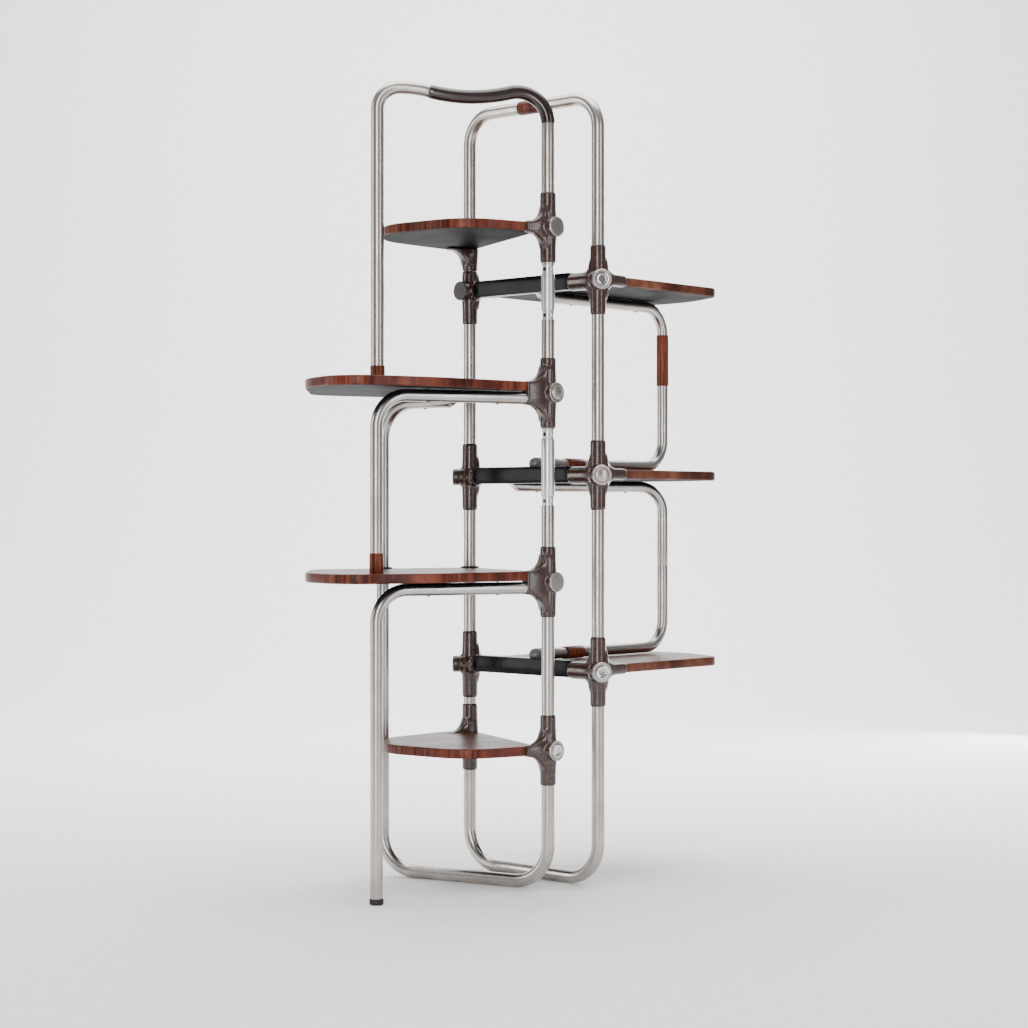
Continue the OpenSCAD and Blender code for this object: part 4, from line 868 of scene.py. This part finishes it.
# foot and rings
makePiece("footCap", [ringSolid(turnedRings(profiles["foot"]) + np.array([*legPost, 0.0]))],
          [material["rubber"]], ["foot_cap"])
spacerStart, spacerEnd = collar["spacer"]
sideRing = outFromRail([(spacerStart, shelfZ[6] + sideOver), (spacerEnd, shelfZ[6] + sideOver)], sideOuter,
                       cover, rim=0.8, depth=1.5)
makePiece("rubberRings", [ringSolid(turnedRings(profiles["ring"]) + np.array([*p, shelfZ[n] + largeBottom]))
                          for p, n in ((rearPost, 2), (rearPost, 3), (backPost, 3))] + [sideRing],
          [material["rubber"]], ["rubber_rings"])

# The rail's section and its run from the socket to near the rear post
rail = dict(depth=31.5, high=37.0, front=-12.0, power=7, faceRadius=60, lift=2.5, start=75.0, endGap=24,
            spigot=[(49, 1), (49, 14.4), (50, 15), (75.5, 15), (75.5, 1)], sides=64, sharpAngle=40)


def railPiece(number):
    # A D-shaped bar: its section is the overlap of a 60 mm circle and a rectangle, with rounded corners,
    # carried along the rail, and each end is drawn in a little. A round spigot fills the socket.
    front, sides, face = rail["front"], rail["sides"], rail["faceRadius"]
    middle = front + rail["depth"] / 2
    a = np.linspace(0, 2 * math.pi, sides, endpoint=False)
    c, s = np.cos(a), np.sin(a)
    x = middle + rail["depth"] / 2 * np.sign(c) * np.abs(c) ** (2 / rail["power"])
    z = rail["high"] / 2 * np.sign(s) * np.abs(s) ** (2 / rail["power"])
    x = np.maximum(x, front + face - np.sqrt(face ** 2 - z ** 2))
    ends = np.array([0, 0.3, 1.2, 3])
    start, end = rail["start"], railLength - rail["endGap"]
    y = np.concatenate([start + ends, np.linspace(start + 15, end - 16, 8), end - ends[::-1]])
    draw = np.concatenate([[0.90, 0.95, 0.985, 1], np.ones(8), [1, 0.985, 0.95, 0.90]])
    section = np.stack([middle + (x[None, :] - middle) * draw[:, None], np.repeat(y[:, None], sides, 1)], -1)
    plan = onRail(0, 0) + flatTurn(section, railTurn)
    height = shelfZ[number] + rail["lift"] + z[None, :] * draw[:, None]
    bar = np.concatenate([plan, height[..., None]], -1)
    spigot = turnedRings(rail["spigot"], railTurn + 90) + np.array([*rightPost, shelfZ[number]])
    makePiece(f"rail{number}", [ringSolid(bar), ringSolid(spigot)], [material["enamel"]], [f"rail_{number}"],
              sharpAngle=rail["sharpAngle"])


for number in (4, 5, 6):
    railPiece(number)
print("heads, knobs, buttons and rails made")

# pieces whose exact shape stays
kept = dict(upper_coupler_tube="chromeTube", lower_coupler_tube="chromeTube", inner_joint_tubes="chromeTube",
            button_springs="spring", arm_screws="spring", side_end_caps="cap")
for name, key in kept.items():
    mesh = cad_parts[name].data
    mesh.materials.clear()
    mesh.materials.append(material[key])

view = dict(lens=79.5, sensor=36.0, place=(-2.4907, -4.3572, 0.8005), turn=-30.0, clipEnd=50)
camera = bpy.data.cameras.new("camera")
camera.lens, camera.sensor_width, camera.clip_end = view["lens"], view["sensor"], view["clipEnd"]
cameraObject = bpy.data.objects.new("camera", camera)
cameraObject.location = view["place"]
cameraObject.rotation_euler = (math.pi / 2, 0, math.radians(view["turn"]))
bpy.context.scene.collection.objects.link(cameraObject)
bpy.context.scene.camera = cameraObject

# The floor: level under the shelf, then a quarter circle up to a wall far behind, as one sheet, in metres
paper = dict(near=-36, bendAt=4, bendRadius=3, wallHigh=30, halfWidth=40, rows=40, cols=3, below=0.0005)
rows, cols, near, bendAt, bendRadius = (paper[name] for name in ("rows", "cols", "near", "bendAt", "bendRadius"))
v = np.linspace(0, 1, rows)
bendAngle = np.clip((v - 0.5) / 0.3, 0, 1) * math.pi / 2
run = np.where(v < 0.5, near + v / 0.5 * (bendAt - near), bendAt + bendRadius * np.sin(bendAngle))
rise = np.where(v < 0.5, 0, bendRadius * (1 - np.cos(bendAngle))) + np.clip(v - 0.8, 0, 1) * paper["wallHigh"]
sideways = np.linspace(-paper["halfWidth"], paper["halfWidth"], cols)
towards, level = flatTurn([0, 1], view["turn"]), flatTurn([1, 0], view["turn"])
plan = run[:, None, None] * towards + sideways[None, :, None] * level
sheet = np.concatenate([plan, np.repeat(rise[:, None, None], cols, 1)], -1)
i, j = np.meshgrid(np.arange(rows - 1), np.arange(cols - 1), indexing="ij")
corner = i * cols + j
faces = np.stack([corner, corner + 1, corner + cols + 1, corner + cols], -1).reshape(-1, 4)
floorMesh = bpy.data.meshes.new("floor")
floorMesh.from_pydata((sheet.reshape(-1, 3) - [0, 0, paper["below"]]).tolist(), [], faces.tolist())
floorMesh.shade_smooth()


def mattPaper(tree):
    # Matt seamless paper: almost white, with a faint fibre cloud that keeps it from looking like glass.
    coord = addNode(tree, "TexCoord")
    cloud = addNode(tree, "TexNoise", {"Vector": coord.outputs["Object"], "Scale": 40.0, "Detail": 3.0})
    colour = addNode(tree, "ValToRGB", {"Fac": cloud.outputs["Fac"]},
                     stops=[(0.3, "#efefef"), (0.7, "#f6f6f6")])
    return addNode(tree, "BsdfPrincipled", {"Base Color": colour.outputs["Color"], "Roughness": 0.9})


floorMesh.materials.append(newMaterial("mattBackdropPaper", mattPaper))
floor = bpy.data.objects.new("floor", floorMesh)
bpy.context.scene.collection.objects.link(floor)

# the studio's surroundings: warm grey low down, grey above and white overhead
studio = dict(low="#a09a95", middle="#a9acb0", high="#ffffff", strength=0.62)
world = bpy.data.worlds.new("studio")
world.use_nodes = True
tree = world.node_tree
sky = addNode(tree, "TexCoord")
upward = addNode(tree, "SeparateXYZ", {"Vector": sky.outputs["Generated"]})
shade = addNode(tree, "ValToRGB", {"Fac": upward.outputs["Z"]},
                stops=[(0.0, studio["low"]), (0.25, studio["middle"]), (0.9, studio["high"])])
tree.links.new(shade.outputs["Color"], tree.nodes["Background"].inputs["Color"])
tree.nodes["Background"].inputs["Strength"].default_value = studio["strength"]
bpy.context.scene.world = world

lights = dict(
    # place, point it faces, size, power, colour
    key=((-3.3, -4.0, 1.6), (0, 0, 0.9), (1.3, 3.6), 150.0, "#fffaf4"),
    fill=((1.6, -4.6, 1.5), (0, 0, 0.9), (0.7, 3.2), 60.0, "#eef4ff"),
    rim=((3.0, 1.6, 1.6), (0, 0, 0.9), (0.6, 3.0), 60.0, "#ffffff"),
    side=((-3.2, 1.4, 1.4), (0, 0, 0.9), (0.5, 3.0), 46.0, "#ffffff"),
    top=((0.3, 0.6, 4.6), (0.3, 0.6, 0), (4.5, 4.5), 330.0, "#ffffff"),
    back=((1.2, 2.2, 4.2), (3.2, 5.6, 1.6), (4.5, 2.0), 560.0, "#ffffff"),
)
for name, (place, facing, size, power, code) in lights.items():
    data = bpy.data.lights.new(name, "AREA")
    data.shape, data.size, data.size_y, data.energy = "RECTANGLE", size[0], size[1], power
    data.color = linear(code)[:3]
    lamp = bpy.data.objects.new(name, data)
    lamp.location = place
    aim = np.array(facing, float) - np.array(place)
    lamp.rotation_euler = (math.atan2(math.hypot(aim[0], aim[1]), -aim[2]), 0,
                           math.atan2(aim[1], aim[0]) - math.pi / 2)
    bpy.context.scene.collection.objects.link(lamp)
print("stage set")
